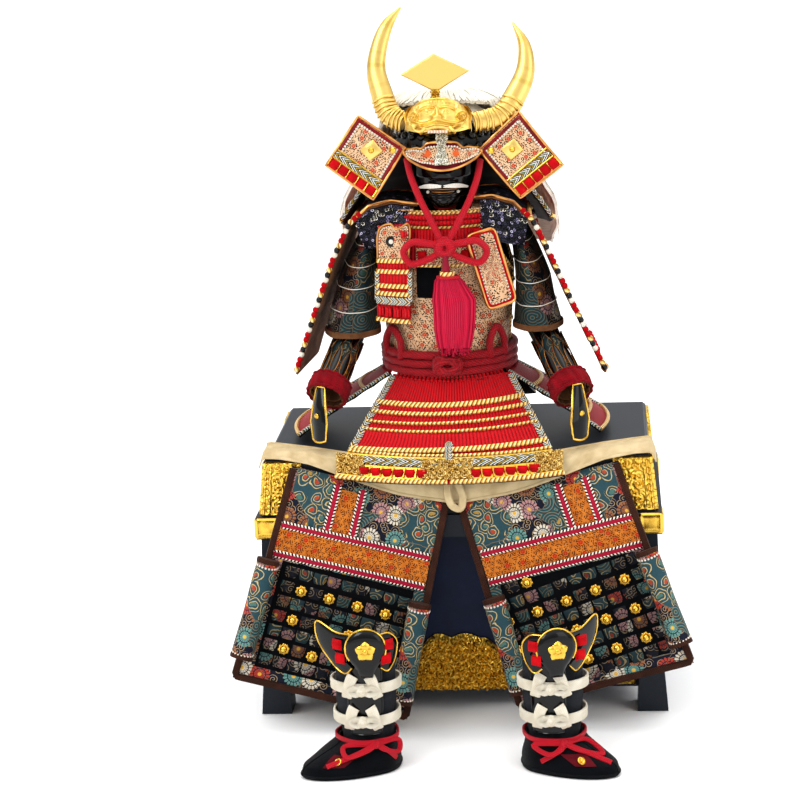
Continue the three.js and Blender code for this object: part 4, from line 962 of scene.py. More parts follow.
def thigh_plates(hand, end):
    """Small square plates under the cloth, every fourth one black with a domed stud on it."""
    start, along, below = LATTICE[hand]
    plates, studs = Stock(), Stock()
    dark, bright, domes = [], [], []
    facing = at(0, -1, 0.15)
    for j in range(-1, 8):
        for i in range(-3, 9):
            place, u, v = on_thigh(hand, *(start + along * i / 2 + below * j / 2), 0.5)
            if 0.09 < u < 0.92 and 0.435 < v < 0.93:
                stud = i % 2 == 0 and j % 2 == 0
                pad = (place, at(along[0], 0, along[1]), at(-below[0], 0.32, -below[1]))
                (dark if stud else bright).append(pad)
                if stud:
                    domes.append((place + at(0, -1.4, 0), facing))
    plates.pads(bright, 14.0, 13.6, 1.8, 0)
    plates.pads(dark, 14.6, 14.2, 1.9, 1)
    plates.grid(part_of(partial(thigh_point, hand), (0.1, 0.9), (0.425, 0.925), 0.45, 20, 20), 1)
    plates.piece(f"thigh_plates_{end}", ["dark brocade", "dark cloth"])
    r = sizes().stud / MM / 2
    studs.turned(domes, [(r, 0), (r * 1.02, 0.5), (r * 0.88, 1.2), (r * 0.7, 1.0), (r * 0.66, 1.8),
        (r * 0.57, 3.1), (r * 0.33, 4.1), (0.05, 4.4)], 16)
    for centre, _ in domes:
        rim = [(centre + at(0.9 * r * cos(a), -0.2, 0.9 * r * sin(a)), facing) for a in turns(8)]
        studs.turned(rim, [(r * 0.3, 0), (r * 0.27, 0.5), (r * 0.14, 0.9), (0.03, 1.0)], 6)
    studs.piece(f"thigh_studs_{end}", ["gilt"])


def thigh_roll(hand, end, name, place, top, low):
    stock = Stock()
    centre = down(partial(thigh_point, hand), place, 13.0, 20, top, low)
    puff = 1 + 0.03 * np.sin(linspace(0, 9, 20))
    stock.sweep(centre, disc(11.2, 22), AHEAD, taper=puff, caps=False)
    ahead = unit(centre[-1] - centre[0])
    aside = unit(np.cross(ahead, AHEAD))
    for tip, way in ((centre[0], ahead), (centre[-1], -ahead)):
        ring = [tip + way * d for d in (-1.2, 0.8, 3.6)]
        stock.sweep(ring, disc(11.9, 22), AHEAD, 1, taper=[1.0, 1.02, 0.99], caps=False)
        for depth in (-1.0, 2.5):
            stock.sweep([tip + way * depth, tip + way * (depth + 0.3)], disc(11.3, 22), AHEAD, 1)
        spokes = [cos(a) * aside + sin(a) * AHEAD for a in turns(20)]
        stock.turned([(tip + way * 5.4 + 11.3 * spoke, spoke) for spoke in spokes], [(1.3, -0.3), (1.1, 0.6),
            (0.05, 0.9)], 6, 2)
    return stock.piece(f"thigh_roll_cloth_{name}_{end}", ["brocade", "binding", "stitch"],
        (f"thigh_roll_{name}_{end}",))


def build_thigh_guards():
    for hand, end in SIDES:
        thigh_bands(hand, end)
        thigh_plates(hand, end)
        guard = thigh_cloth(hand, end)
        for name, place, top, low in (("outer", 0.02, 0.42, 0.88), ("inner", 0.95, 0.46, 0.91)):
            rolled = thigh_roll(hand, end, name, place, top, low)


# ---- Sash ----

SASH = ((0, (-14, -16, -18, -18), (263, 254, 244, 232)), (60, (-10, -15, -18, -18), (272, 263, 254, 242)),
    (112, (2, -9, -13, -15), (283, 277, 266, 253)), (152, (22, -1, -11, -13), (284, 285, 275, 261)),
    (184, (38, 8, -9, -12), (284, 285.5, 278, 264)), (202, (46, 14, -8, -12), (284, 285.5, 278, 265)),
    (207, (44, 16, -6, -9), (270, 269, 267, 262)))


def sash_point(u, v):
    x = abs(2 * u - 1) * 206.5
    v = v * lerp(1, 0.58, smooth(40, 200, x))
    columns = [row[0] for row in SASH]
    rows = np.array([list(row[1]) + list(row[2]) for row in SASH])
    here = [np.interp(x, columns, rows[:, k]) for k in range(8)]
    fold = 0.9 * sin(x / 13 + 5 * v) * sin(pi * v) * smooth(205, 180, x)
    return at(copysign(x, 2 * u - 1), np.interp(v * 3, range(4), here[:4]) - abs(fold), np.interp(v * 3,
        range(4), here[4:]) + abs(fold) * 0.6)


def build_sash():
    stock = Stock()
    stock.slab(net(sash_point, 120, 15), 1.4, at(0, 1, -0.8))
    hems = [[sash_point(u, v) + at(0, -0.4, 0.2) for u in linspace(0.01, 0.99, 90)] for v in (0.03, 0.97)]
    for hem in hems:
        stock.sweep(hem, ribbon(3, 1.4), at(0, -1, 0.3))
    loop = curve([at(-7, -20, 262), at(-9, -24, 248), at(-4, -26, 232), at(4, -26, 229), at(7, -24, 238),
        at(3, -22, 252), at(-3, -20, 262)], 30)
    stock.sweep(loop, ribbon(8, 2.2), AHEAD)
    sash = stock.piece("sash_cloth", ["cream"], ("sash",))


# ---- Legs ----

LEGS = {LEFT: {"x": -88, "y": -148, "yaw": 0.05, "ahead": 29.7}, RIGHT: {"x": 98, "y": -148, "yaw": 0.3,
    "ahead": 33.5}}
SHIN = ((14, 24, 22), (36, 26, 23), (70, 30, 25), (104, 30, 25), (128, 29, 25))
KNEE = {"aside": 4, "height": 132, "turn": 0.6}
OUTER_WING = ((0, 14), (18, 14), (42, 22), (44, 14), (40, 0), (28, -15), (16, -25), (8, -27), (0, -20))
INNER_WING = ((0, 14), (12, 13), (20, 4), (19, -8), (15, -18), (8, -25), (0, -20))


def shin_point(hand, angle, z, out=0.0):
    leg = LEGS[hand]
    half, deep = row_at(SHIN, z)
    return at(leg["x"] + (half + out) * sin(angle), leg["y"] - (deep + out) * cos(angle), z)


def shin_guard(hand, end):
    stock = Stock()
    turn = 2 * pi
    rows = net(lambda u, v: shin_point(hand, turn * u, lerp(128, 15, v), 0.5 * sin(9 * v + 4 * u)), 48, 30)
    middle = at(LEGS[hand]["x"], LEGS[hand]["y"], 0)
    stock.slab(rows[:, :-1], 1.8, (middle - rows[:, :-1]) * at(1, 1, 0), closed=True)
    plate = net(lambda u, v: shin_point(hand, lerp(-0.62, 0.5, u) - 0.1 * hand, lerp(127, 40, v), 1.6 + 2.2
        * sin(pi * u)), 16, 24)
    stock.slab(plate, 1.2, BACK, 1)
    for edge in (plate[:, 0], plate[:, -1], plate[-1]):
        stock.sweep(edge, disc(0.9, 6), finish=1)
    return stock.piece(f"shin_guard_{end}", ["gaiter", "lacquer"], (f"shin_{end}",))


def shin_ties(hand, end):
    """Flat white tapes: a band round the leg, two upright strands through it and a knot."""
    stock = Stock()
    tape = [(-5.6, 0), (-5, 1.3), (-2.5, 1.7), (0, 1.3), (2.5, 1.7), (5, 1.3), (5.6, 0), (5, -0.9),
        (-5, -0.9)]
    for height, tilt in ((88, 0.8), (55, -0.8)):
        band = [shin_point(hand, a, height + tilt * cos(a), 4.2) for a in turns(48)]
        stock.sweep(band, [(y, -x) for x, y in tape], UP, closed=True)
        for angle, lean in ((-0.5, 0.04), (0.42, -0.05)):
            line = [shin_point(hand, angle + lean * k, height + rise, out) for k,
                (rise, out) in enumerate(((-8, 5.2), (-5, 7.0), (0, 7.4), (6, 7.0), (11, 5.4), (14, 3.6)))]
            stock.sweep(curve(line, 14), tape, at(0.3 * sin(angle), -1, 0), taper=linspace(0.95, 1.05, 15))
        knot = shin_point(hand, -0.05, height, 7.5)
        stock.turned([(knot, AHEAD)], [(6, -1.5), (6.3, 0.5), (4.6, 2.6), (0.05, 3.4)], 12)
        for way in (-1, 1):
            loop = [knot, shin_point(hand, 0.2 * way, height + 3.5, 10.5), shin_point(hand, 0.36 * way,
                height - 0.5, 9.0), shin_point(hand, 0.18 * way, height - 3.5, 9.5), knot]
            stock.sweep(curve(loop, 16), tape, at(0, -1, 0.2), taper=[0.5] * 17)
    return stock.piece(f"shin_ties_{end}", ["tie"])


def knee_plate(hand, end):
    leg = LEGS[hand]
    centre = at(leg["x"] + KNEE["aside"], leg["y"] - leg["ahead"], KNEE["height"])
    ahead, aside = cos(leg["yaw"]), sin(leg["yaw"])

    def spot(x, y, z):
        return centre + at(x * ahead - y * aside, x * aside + y * ahead, z)

    stock = Stock()
    outline = [(-20 * cos(a), 20 * sin(a)) for a in linspace(-0.62, pi + 0.62, 34)]
    outline += [(9, -22), (6, -30), (-6, -30), (-9, -22)]
    rim = np.array(outline, float)

    def boss(u, v):
        place = rim[int(round(u * len(rim))) % len(rim)]
        return spot(place[0] * v, -3.0 - 5.5 * sqrt(max(0.0, 1 - v * v)), place[1] * v)

    shell = net(boss, len(rim), 9)[:, :-1]
    stock.grid(shell, 0, closed=True)
    stock.sweep([spot(x, -3.2, z) for x, z in outline[:34]], disc(1.1, 8), finish=1)
    back = np.array([spot(x, -0.8, z) for x, z in outline])
    stock.grid(np.stack([shell[-1], back]), 0, closed=True)
    stock.add(back, [list(range(len(back)))], [(0, 0)] * len(back))
    for toward, table in ((1, OUTER_WING), (-1, INNER_WING)):
        facing = toward * hand
        wing_turn = KNEE["turn"] * facing
        edge = curve([(x, 0, z) for x, z in table], 40)
        spots = np.array([spot(facing * (14 + x * cos(wing_turn)), -1.5 + facing * x * sin(wing_turn), z)
            for x, _, z in edge])
        heart = spots.mean(axis=0)
        rows = np.array([heart + (spots - heart) * s - at(0, 2.2 * sqrt(1 - s * s), 0) for s in linspace(0, 1,
            7)])
        stock.grid(rows, 0)
        stock.grid(rows + at(0, 2.2, 0), 0)
        stock.sweep(spots, disc(1.0, 8), finish=1)
        tassels = []
        for height in (3, -11):
            away = (17 if toward == 1 else 10) - (0 if height > 0 else 3)
            tassels.append((spot(facing * 14 + facing * away * cos(wing_turn), -5.4 + away
                * abs(sin(wing_turn)) * 0.95, height), at(cos(wing_turn), sin(wing_turn), 0), UP))
        stock.pads(tassels, 11.5, 11, 3.8, 2)
    knee_flower(stock, spot)
    return stock.piece(f"knee_guard_{end}", ["lacquer", "gilt", "felt", "relief gilt"], (f"knee_plate_{end}",
        ))


def knee_flower(stock, spot):
    """A plain gilt blossom: petals with a raised rib, small leaves below and a round heart."""
    for radius, count, start, reach in ((10.5, 5, pi / 2, 1.0), (8.0, 4, pi / 2 + 0.63, 0.9)):
        for k in range(count):
            a = start + 2 * pi * k / count
            along, beside = at(cos(a), 0, sin(a)), at(-sin(a), 0, cos(a))

            def petal(u, v):
                wide = 4.6 * reach * sin(pi * min(1, 0.12 + 0.88 * v)) ** 0.8
                s = 2 * u - 1
                p = along * radius * (0.15 + 0.85 * v) + beside * wide * s
                lift = 9.8 + 1.6 * (1 - s * s) * sin(pi * v) - 1.6 * v + (0.8 if count == 5 else 0)
                return spot(p[0], -lift, p[2] - 1)

            stock.grid(net(petal, 6, 6), 1)
    stock.turned([(spot(0, -10.2, -1), spot(0, -2, -1) - spot(0, -1, -1))], [(3.2, 0), (2.8, 1.2), (1.6, 2.0),
        (0.05, 2.2)], 12, 1)


def build_legs():
    for hand, end in SIDES:
        guard = shin_guard(hand, end)
        shin_ties(hand, end)
        knee_plate(hand, end)


# ---- Boots ----

BOOT = {"splay": 1.0, "heel": 33, "toe": 75, "wide": 35, "mouth": 29}


def build_boots():
    for hand, end in SIDES:
        leg = LEGS[hand]
        ahead = at(hand * sin(BOOT["splay"]), -cos(BOOT["splay"]), 0)
        beside = at(ahead[1], -ahead[0], 0)
        centre = at(leg["x"], leg["y"], 0)

        def boot_point(angle, v, out=0.0):
            """Round the boot at an angle from the toe, v from the sole's edge up to the mouth."""
            x = (BOOT["toe"] if cos(angle) > 0 else BOOT["heel"]) * cos(angle)
            y = BOOT["wide"] * copysign(abs(sin(angle)) ** 1.15, sin(angle))
            heights = ((0, 0.5, 0.03), (0.12, 4, 0.0), (0.3, 11, 0.06), (0.55, 19, 0.42), (0.8, 27, 0.84),
                (1, 33.5, 1.0))
            z, blend = row_at(heights, v)
            x = lerp(x, BOOT["mouth"] * cos(angle), blend)
            y = lerp(y, BOOT["mouth"] * sin(angle), blend)
            p = centre + ahead * x + beside * y
            away = unit(at(*(p - centre)[:2], 0))
            fold = 0.7 * sin(5 * angle + 6 * v) * smooth(0.2, 0.6, v)
            return at(p[0], p[1], max(z, 0.4)) + away * (out + fold)

        stock = Stock()
        rows = net(lambda u, v: boot_point(2 * pi * u, v), 64, 20)[:, :-1]
        stock.slab(rows, 2.0, (centre + at(0, 0, 12)) - rows, closed=True)
        sole = rows[0] * at(1, 1, 0) + at(0, 0, 0.4)
        stock.grid(np.array([lerp(centre + at(0, 0, 0.4), sole, s) for s in (0, 0.5, 1)]), closed=True)
        stock.sweep([boot_point(0.0, v, 0.3) for v in linspace(0.1, 0.98, 20)], disc(0.8, 6))
        stock.sweep([boot_point(a, 0.1, 0.2) for a in turns(64)], disc(0.9, 6), UP, closed=True)
        shoe = stock.piece(f"boot_velvet_{end}", ["velvet"], (f"boot_{end}",))

        trim = Stock()
        cord = ribbon(5.2, 2.0)
        ring = np.array([boot_point(a, 0.97, 1.6) for a in turns(48)])
        trim.sweep(ring + UP, [(b, a) for a, b in cord], UP, closed=True)
        front = 1.0 * hand + (-0.35 if hand == LEFT else -0.3)
        knot = boot_point(front, 0.95, 4.5)
        tips = ((boot_point(front + 0.9, 0.86, 5), boot_point(front + 0.55, 0.66, 6), boot_point(front + 0.2,
            0.8, 5.5)), (boot_point(front - 0.8, 0.9, 5), boot_point(front - 0.7, 0.6, 6),
            boot_point(front - 0.2, 0.78, 5.5)))
        for tip in tips:
            trim.sweep(curve([knot, *tip, knot], 26), cord, at(0, -0.7, 0.7))
        for spread in (0.75, -0.62):
            tail = [knot, boot_point(front + spread * 0.5, 0.72, 4.5), boot_point(front + spread, 0.4, 3.2)]
            trim.sweep(curve(tail, 12), cord, at(0, -0.8, 0.6))
        trim.turned([(knot, ahead + UP / 2)], [(4.2, -1.5), (4.6, 0.6), (3.0, 2.6), (0.05, 3.2)], 10)
        tongue = net(lambda u, v: boot_point(0.72 * hand + (u - 0.5) * 0.62 * (1 - 0.35 * v), lerp(0.66, 0.36,
            v), 0.9), 8, 8)
        trim.slab(tongue, 0.8, BACK, 1)
        eye = boot_point(0.72 * hand, 0.5, 1.6)
        trim.turned([(eye, unit(eye - centre + at(0, 0, 30)))], [(4.0, 0), (4.2, 1.2), (3.2, 1.7), (2.3, 1.2),
            (1.4, 1.0), (1.2, 1.9), (0.05, 2.2)], 16, 2)
        trim.piece(f"boot_cords_{end}", ["cord", "maroon", "gilt"])


# ---- Cuirass ----

BODY = {"x": -10, "y": 110}
CUIRASS = ((352, 63, 62, 52), (380, 64, 63, 54), (420, 67, 66, 56), (460, 70, 66, 58), (490, 68, 62, 58),
    (525, 60, 54, 54))


def cuirass_point(angle, z, out=0.0):
    half, front, back = row_at(CUIRASS, z)
    deep = front if cos(angle) > 0 else back
    return at(BODY["x"] + (half + out) * sin(angle), BODY["y"] - (deep + out) * cos(angle), z)


def on_cuirass(x, z, out):
    half = row_at(CUIRASS, z)[0] + out
    return cuirass_point(asin(max(-1, min(1, (x - BODY["x"]) / half))), z, out)


def cuirass_halves():
    for front, name, kind in ((True, "front", "leather"), (False, "back", "lacing")):
        top, narrow = (524, 0.62) if front else (525, 0.85)

        def point(u, v, out=0.0):
            z = lerp(top, 352, v)
            reach = lerp(pi / 2 - 0.006, narrow, sqrt(max(0, (z - 455) / (top - 455))))
            return cuirass_point(lerp(-reach, reach, u) + (0 if front else pi), z, out)

        stock = Stock()
        rows = net(point, 56, 44)
        stock.slab(rows, 2.6, (at(BODY["x"], BODY["y"], 0) - rows) * at(1, 1, 0), 0, 1)
        for edge in (rows[0], rows[:, 0], rows[:, -1]):
            stock.sweep(edge, disc(1.9, 8), finish=2)
        if not front:
            for place in (0.12, 0.24, 0.36, 0.48, 0.6, 0.72, 0.84):
                stock.sweep(across(point, place, 1.2, 80, 0.01, 0.99), disc(2.2, 8, 1.3), UP, 2)
        stock.piece(f"cuirass_shell_{name}", [kind, "dark cloth", "gold row"], (f"cuirass_{name}",))


def chest_plate():
    def point(u, v, out=0.0):
        return on_cuirass(BODY["x"] + lerp(44, 46, v) * (2 * u - 1), lerp(524.8, 470, v), 3.8 + out)

    stock = Stock()
    stock.slab(net(point, 40, 20), 2.4, BACK, 0, 1)
    for place, thick in ((0.02, 2.48), (0.28, 2.232), (0.99, 2.48)):
        stock.sweep(across(point, place, 0.8, 60), ribbon(2.0, thick), at(0, -0.3, 1), 2)
    for place in (0.1, 0.2):
        stock.sweep(across(point, place, 1.6, 40, 0.02, 0.98), disc(2.6, 8), UP)
    stock.trims(point, (0.04, 0.96), 1.4, (7, 2.4), AHEAD, 3, 26, 0, 0.75, down)
    spots = ((0.12, 0.42), (0.9, 0.42), (0.27, 0.8), (0.76, 0.8))
    stock.pads([(point(u, v, 1.2), at(1, 0, 0), UP) for u, v in spots], 10, 10, 4, 4)
    stock.grid(part_of(point, (0.2, 0.8), (0.66, 0.97), 1.0, 16, 6), 5)
    stock.piece("chest_plate_laced", ["lacing", "dark cloth", "gold row", "mixed braid", "felt", "leather"],
        ("chest_plate",))
    patch = Stock()
    patch.slab(part_of(on_cuirass, (-38, -12), (468, 436), 0.8, 10, 10), 0.7, BACK)
    patch.piece("cuirass_dark_patch", ["dark cloth"])


def laced_breast_plate():
    def point(u, v, out=0.0):
        p = between((-77, 56, 512), (-43, 43.5, 515), (-81, 53, 413), (-45, 40, 411), u, v)
        return p + at(-0.25, -1, 0) * (out + 2.0 * sin(pi * u))

    stock = Stock()
    stock.slab(net(point, 16, 40), 2.2, BACK, 0, 6)
    crown = [(0.02, 0.34), (0.02, 0.1), (0.12, 0.02), (0.45, -0.01), (0.62, 0.05), (0.98, 0.0), (0.98, 0.34)]
    stock.grid(part_of(point, (0.03, 0.97), (0.02, 0.36), 0.8, 10, 8), 1)
    stock.sweep(curve([point(u, v, 1.3) for u, v in crown], 40), disc(1.3, 8), finish=2)
    inner = curve([point(lerp(u, 0.5, 0.13), lerp(v, 0.2, 0.13), 1.2) for u, v in crown], 30)
    stock.turned([(p, AHEAD) for p in inner], [(0.9, 0), (0.7, 0.7), (0.05, 0.9)], 6, 3)
    stock.trims(point, (0.37, 0.48, 0.63, 0.71, 0.985), 1.4, (5, 3), AHEAD, 4, 30)
    stock.trims(point, (0.785,), 1.4, (8.5, 3), AHEAD, 5, 30)
    stock.pads([(point(u, 0.9, 1.0), at(1, 0.3, 0), UP) for u in (0.13, 0.38, 0.63, 0.88)], 8.2, 11, 4)
    stock.trims(point, (0.0, 1.0), 1.0, (5, 2.6), AHEAD, 5, 16, 0.48, 0.78, down)
    stock.pads([(point(0.84, 0.1, 1.0), at(1, 0.3, 0), UP)], 7, 7, 4)
    for reach, rise, kind in ((5.6, 1.2, 6), (2.4, 1.9, 3)):
        stock.turned([(point(0.45, 0.17, 0.8), AHEAD)], [(reach, 0), (reach, rise - 0.3), (0.05, rise)], 14,
            kind)
    stock.piece("breast_plate_laced", ["lacing", "leather", "rim", "stitch", "gold row", "mixed braid",
        "lacquer"], ("breast_plate_l",))


def leather_breast_plate():
    def point(s, t, out=0.0):
        """s and t run from -1 to 1 over the plate; out stands off it."""
        return between((15, 42, 501), (44, 46, 509), (36, 42, 423), (65, 51, 431), (s + 1) / 2, (t + 1)
            / 2) + at(0.1, -1, 0) * out

    def rounded(value, power):
        return copysign(abs(value) ** power, value)

    stock = Stock()
    edge = [(rounded(cos(a), 0.32), rounded(sin(a), 0.16)) for a in turns(72)]
    rows = np.array([[point(s * k, t * k, 1.5 * (1 - k**4)) for s, t in edge] for k in linspace(0, 1, 8)])
    stock.slab(rows, 2.0, BACK, 0, 3, closed=True)
    for wide, high, out, radius, sides, kind in ((1, 1, 0.8, 1.7, 8, 1), (0.87, 0.945, 1.2, 1.1, 6, 2)):
        loop = [point(s * wide, t * high, out) for s, t in edge]
        stock.sweep(loop, disc(radius, sides), AHEAD, kind, closed=True)
    dots = resample([point(s * 0.74, t * 0.9, 1.4) for s, t in edge + edge[:1]], 3.4)
    stock.turned([(p, AHEAD) for p in dots], [(0.95, 0), (0.75, 0.7), (0.05, 0.9)], 6, 4)
    stock.pads([(point(-0.45, -0.86, 1.5), at(1, 0, 0.2), UP)], 10, 10, 4, 2)
    stock.piece("breast_plate_leather", ["leather", "rim", "felt", "lacquer", "stitch"], ("breast_plate_r",))


def build_cuirass():
    cuirass_halves()
    chest_plate()
    laced_breast_plate()
    leather_breast_plate()
    for hand, end in SIDES:
        middle = BODY["x"] + hand * 38
        stock = Stock()
        stock.slab(net(lambda u, v: at(middle + 8 * (2 * u - 1), lerp(60, 161, v), 527 + sin(pi * v)), 6, 20),
            1.6, -UP)
        stock.piece(f"shoulder_strap_leather_{end}", ["leather"], (f"shoulder_strap_{end}",))


# ---- Skirts ----

FRONT_SKIRT = ((0, 44, 350, 62, 30), (0.7, -22, 285, 104, 14), (1, -38, 258.5, 118.5, 12))
BACK_SKIRT = ((0, 170, 350, 48, 12), (1, 226, 289, 84, 10))
SIDE_SKIRT = ((0, 69, 350, 78, 142), (0.5, 118, 321, 68, 152), (1, 168, 288, 56, 164))


SKIRT_UP = at(0, -0.75, 0.65)


def skirt_point(table, toward, u, v, out=0.0):
    y, z, half, bow = row_at(table, v)
    s = 2 * u - 1
    return at(-6 + half * s, y - toward * bow * s * s - out * 0.75, z + 5 * s * s * v + out * 0.65)


def side_skirt_point(hand, u, v, out=0.0):
    reach, z, front, back = row_at(SIDE_SKIRT, v)
    s = 2 * u - 1
    return at(BODY["x"] + hand * (reach - 8 * s * s + out * 0.5), lerp(front, back, u), z + out * 0.8)


def front_skirt():
    def point(u, v, out=0.0):
        step = 2.0 * sin(2 * pi * v * 8) * smooth(0.2, 0.3, v) * smooth(0.72, 0.66, v)
        return skirt_point(FRONT_SKIRT, -1, u, v, out + max(0, step))

    def sloping(u, v, out):
        return point(u, v - 0.04 * (u - 0.5), out)

    stock = Stock()
    stock.slab(net(point, 90, 60), 2.6, at(0, 1, -0.6), 0, 4)
    for place, wide in ((0.25, 6.2), (0.33, 4.4), (0.42, 2.6), (0.49, 2.6), (0.665, 5.6)):
        stock.trims(sloping, (place,), 1.6, (wide, 3.4), SKIRT_UP, 1, 120)
    stock.trims(point, (0.012, 0.988), 1.2, (7.5, 3), at(0, -0.6, 0.7), 2, 60, 0.03, 0.72, down)
    bottom_plate(stock, point)
    hang_cords(stock, point, 28)
    stock.piece("skirt_front_laced", ["lacing", "gold row", "mixed braid", "zigzag braid", "lacquer",
        "pierced gilt", "felt", "gilt"], ("skirt_front",))


def bottom_plate(stock, point):
    """The lowest plate: two halves with gilt ends, a braid, a row of red squares and a beaded edge."""
    x, z = np.meshgrid(linspace(-15, 15, 46), linspace(-11, 11, 34))
    relief = scroll_height(x, z, 31, 8.5, 7.5) * smooth(0, 3, np.minimum(15 - abs(x), 11 - abs(z)))
    lift = 0.6 + 3.4 * relief
    for low, high in ((0.0, 0.494), (0.506, 1.0)):
        stock.grid(part_of(point, (low, high), (0.725, 0.998), 1.6, 40, 8), 7)
        stock.trims(point, (0.79,), 2.6, (9.5, 3.4), SKIRT_UP, 3, 120, low + 0.02, high - 0.02)
        stock.trims(point, (0.985,), 2.2, (4.6, 3.4), SKIRT_UP, 1, 120, low, high)
        stock.trims(point, (0.715,), 2.2, (3.0, 3.4), SKIRT_UP, 1, 120, low, high)
        inner = [lerp(low, high, t) for t in linspace(0.235, 0.765, 6)]
        stock.pads([(point(u, 0.9, 2.0), at(1, 0, 0), at(0, -0.4, 0.9)) for u in inner], 10.2, 10.0, 4, 6)
        for u in [lerp(low, high, t) for t in linspace(0.182, 0.818, 7)]:
            stock.sweep([point(u, 0.85, 2.6), point(u, 0.95, 2.6)], disc(1.2, 6), finish=7)
        for place in (0.085, 0.915 if low else 0.885):
            u = lerp(low, high, place)
            right = unit(point(u + 0.03, 0.94, 3) - point(u - 0.03, 0.94, 3))
            stock.grid(over_face(point(u, 0.855, 3.0), x, z, lift, right, at(0, 0.45, 0.89),
                at(0, -0.9, 0.4)), 5)
    for height in linspace(0.62, 0.78, 7):
        stock.turned([(point(0.5, height, 3.4), at(0, -0.7, 0.7))], [(4.4, -1), (4.2, 0.8), (2, 2.2),
            (0.05, 2.6)], 8, 2)


def hang_cords(stock, point, count):
    """Loose cords from a skirt's upper edge to the cuirass's lower edge."""
    for u in linspace(0.04, 0.96, count):
        low = point(u, 0.03, 0.8)
        angle = atan2(low[0] - BODY["x"], BODY["y"] - low[1])
        stock.sweep([cuirass_point(angle, 359, 1.2), (cuirass_point(angle, 352, 1.6) + low) / 2, low],
            disc(1.7, 6))


def back_skirt():
    def point(u, v, out=0.0):
        return skirt_point(BACK_SKIRT, 1, u, v) + at(0, 0.6, 0.8) * out

    stock = Stock()
    stock.slab(net(point, 60, 30), 2.6, at(0, -1, -0.6), 0, 1)
    stock.trims(point, (0.2, 0.45, 0.7, 0.98), 1.2, (5, 3), at(0, 0.6, 0.8), 2, 80)
    hang_cords(stock, point, 26)
    # The darker lacing here is painted shade: the back skirt's laces sit in shade.
    stock.piece("skirt_back_laced", ["dark lacing", "lacquer", "gold row"], ("skirt_back",))


def side_skirt(hand, end):
    stock, point = Stock(), partial(side_skirt_point, hand)
    stock.slab(net(lambda u, v: point(u, v, 0.9 * abs(sin(5 * pi * v))), 50, 40), 2.6, at(-hand, 0, -1), 0, 1)
    facing = at(hand * 0.5, 0, 0.8)
    stock.trims(point, (0.28, 0.55, 0.8, 0.985), 1.4, (4.4, 3), facing, 2, 70)
    stock.trims(point, (0.01, 0.99), 1.2, (6.5, 2.8), facing, 3, 50, 0.02, 0.99, down)
    hang_cords(stock, point, 20)
    # The darker lacing here is painted shade: the side skirt's laces sit in shade.
    stock.piece(f"skirt_side_laced_{end}", ["dark lacing", "dark lining", "gold row", "mixed braid"],
        (f"skirt_side_{end}",))


def build_skirts():
    front_skirt()
    back_skirt()
    for hand, end in SIDES:
        side_skirt(hand, end)


# ---- Helmet ----

HELMET = {"x": -8, "y": 110, "rim": 585, "half": 54, "deep": 60, "high": 43}
NECK_GUARD = {"reach": 1.8, "half": (59, 113), "deep": (65, 92)}
WINGS = {  # inner, top, outer and low corner
    LEFT: ((-46, 62, 591), (-93, 62, 625), (-127, 48, 577), (-79, 42, 541)),
    RIGHT: ((30, 62, 587), (72, 62, 625), (116, 48, 571), (72, 42, 539)),
}
HORNS = {  # x, y, z, half width, half depth
    LEFT: (
        (-46, 66, 617, 10, 7), (-61, 71, 625, 12, 7.5), (-69, 77, 645, 11.5, 7), (-74.5, 83, 668, 10, 6),
        (-72, 87, 689, 8.7, 5), (-63, 91, 713, 6.5, 3.6), (-48, 95, 732, 1, 0.8),
    ),
    RIGHT: (
        (25, 66, 615, 10, 7), (54, 70, 621, 12, 7.5), (69, 77, 641, 11.5, 7), (79, 83, 664, 9.8, 6),
        (78.5, 89, 690, 6.4, 4.6), (67, 95, 713, 1, 0.8),
    ),
}
HORN_FLUTE = ((-1, 0), (-0.9, 0.42), (-0.66, 0.72), (-0.34, 0.9), (0, 0.95), (0.34, 0.9), (0.66, 0.72),
    (0.9, 0.42), (1, 0), (0.7, -0.7), (0, -1), (-0.7, -0.7))
CREST = {"x": -12.5, "y": 58.8, "z": 665}
CREST_OUTLINE = ((-35.5, 1.5), (-4, -15), (-4, -27), (4, -27), (4, -15), (35.5, 3.5), (-1, 22))


def dome(angle, rise, out=0.0):
    flat = cos(rise)
    return at(HELMET["x"] + (HELMET["half"] + out) * flat * sin(angle), HELMET["y"] - (HELMET["deep"] + out)
        * flat * cos(angle), HELMET["rim"] + (HELMET["high"] + out) * sin(rise))


def bump(x, z, across, up, wide, high):
    return np.exp(-((x - across) / wide) ** 2 - ((z - up) / high) ** 2)


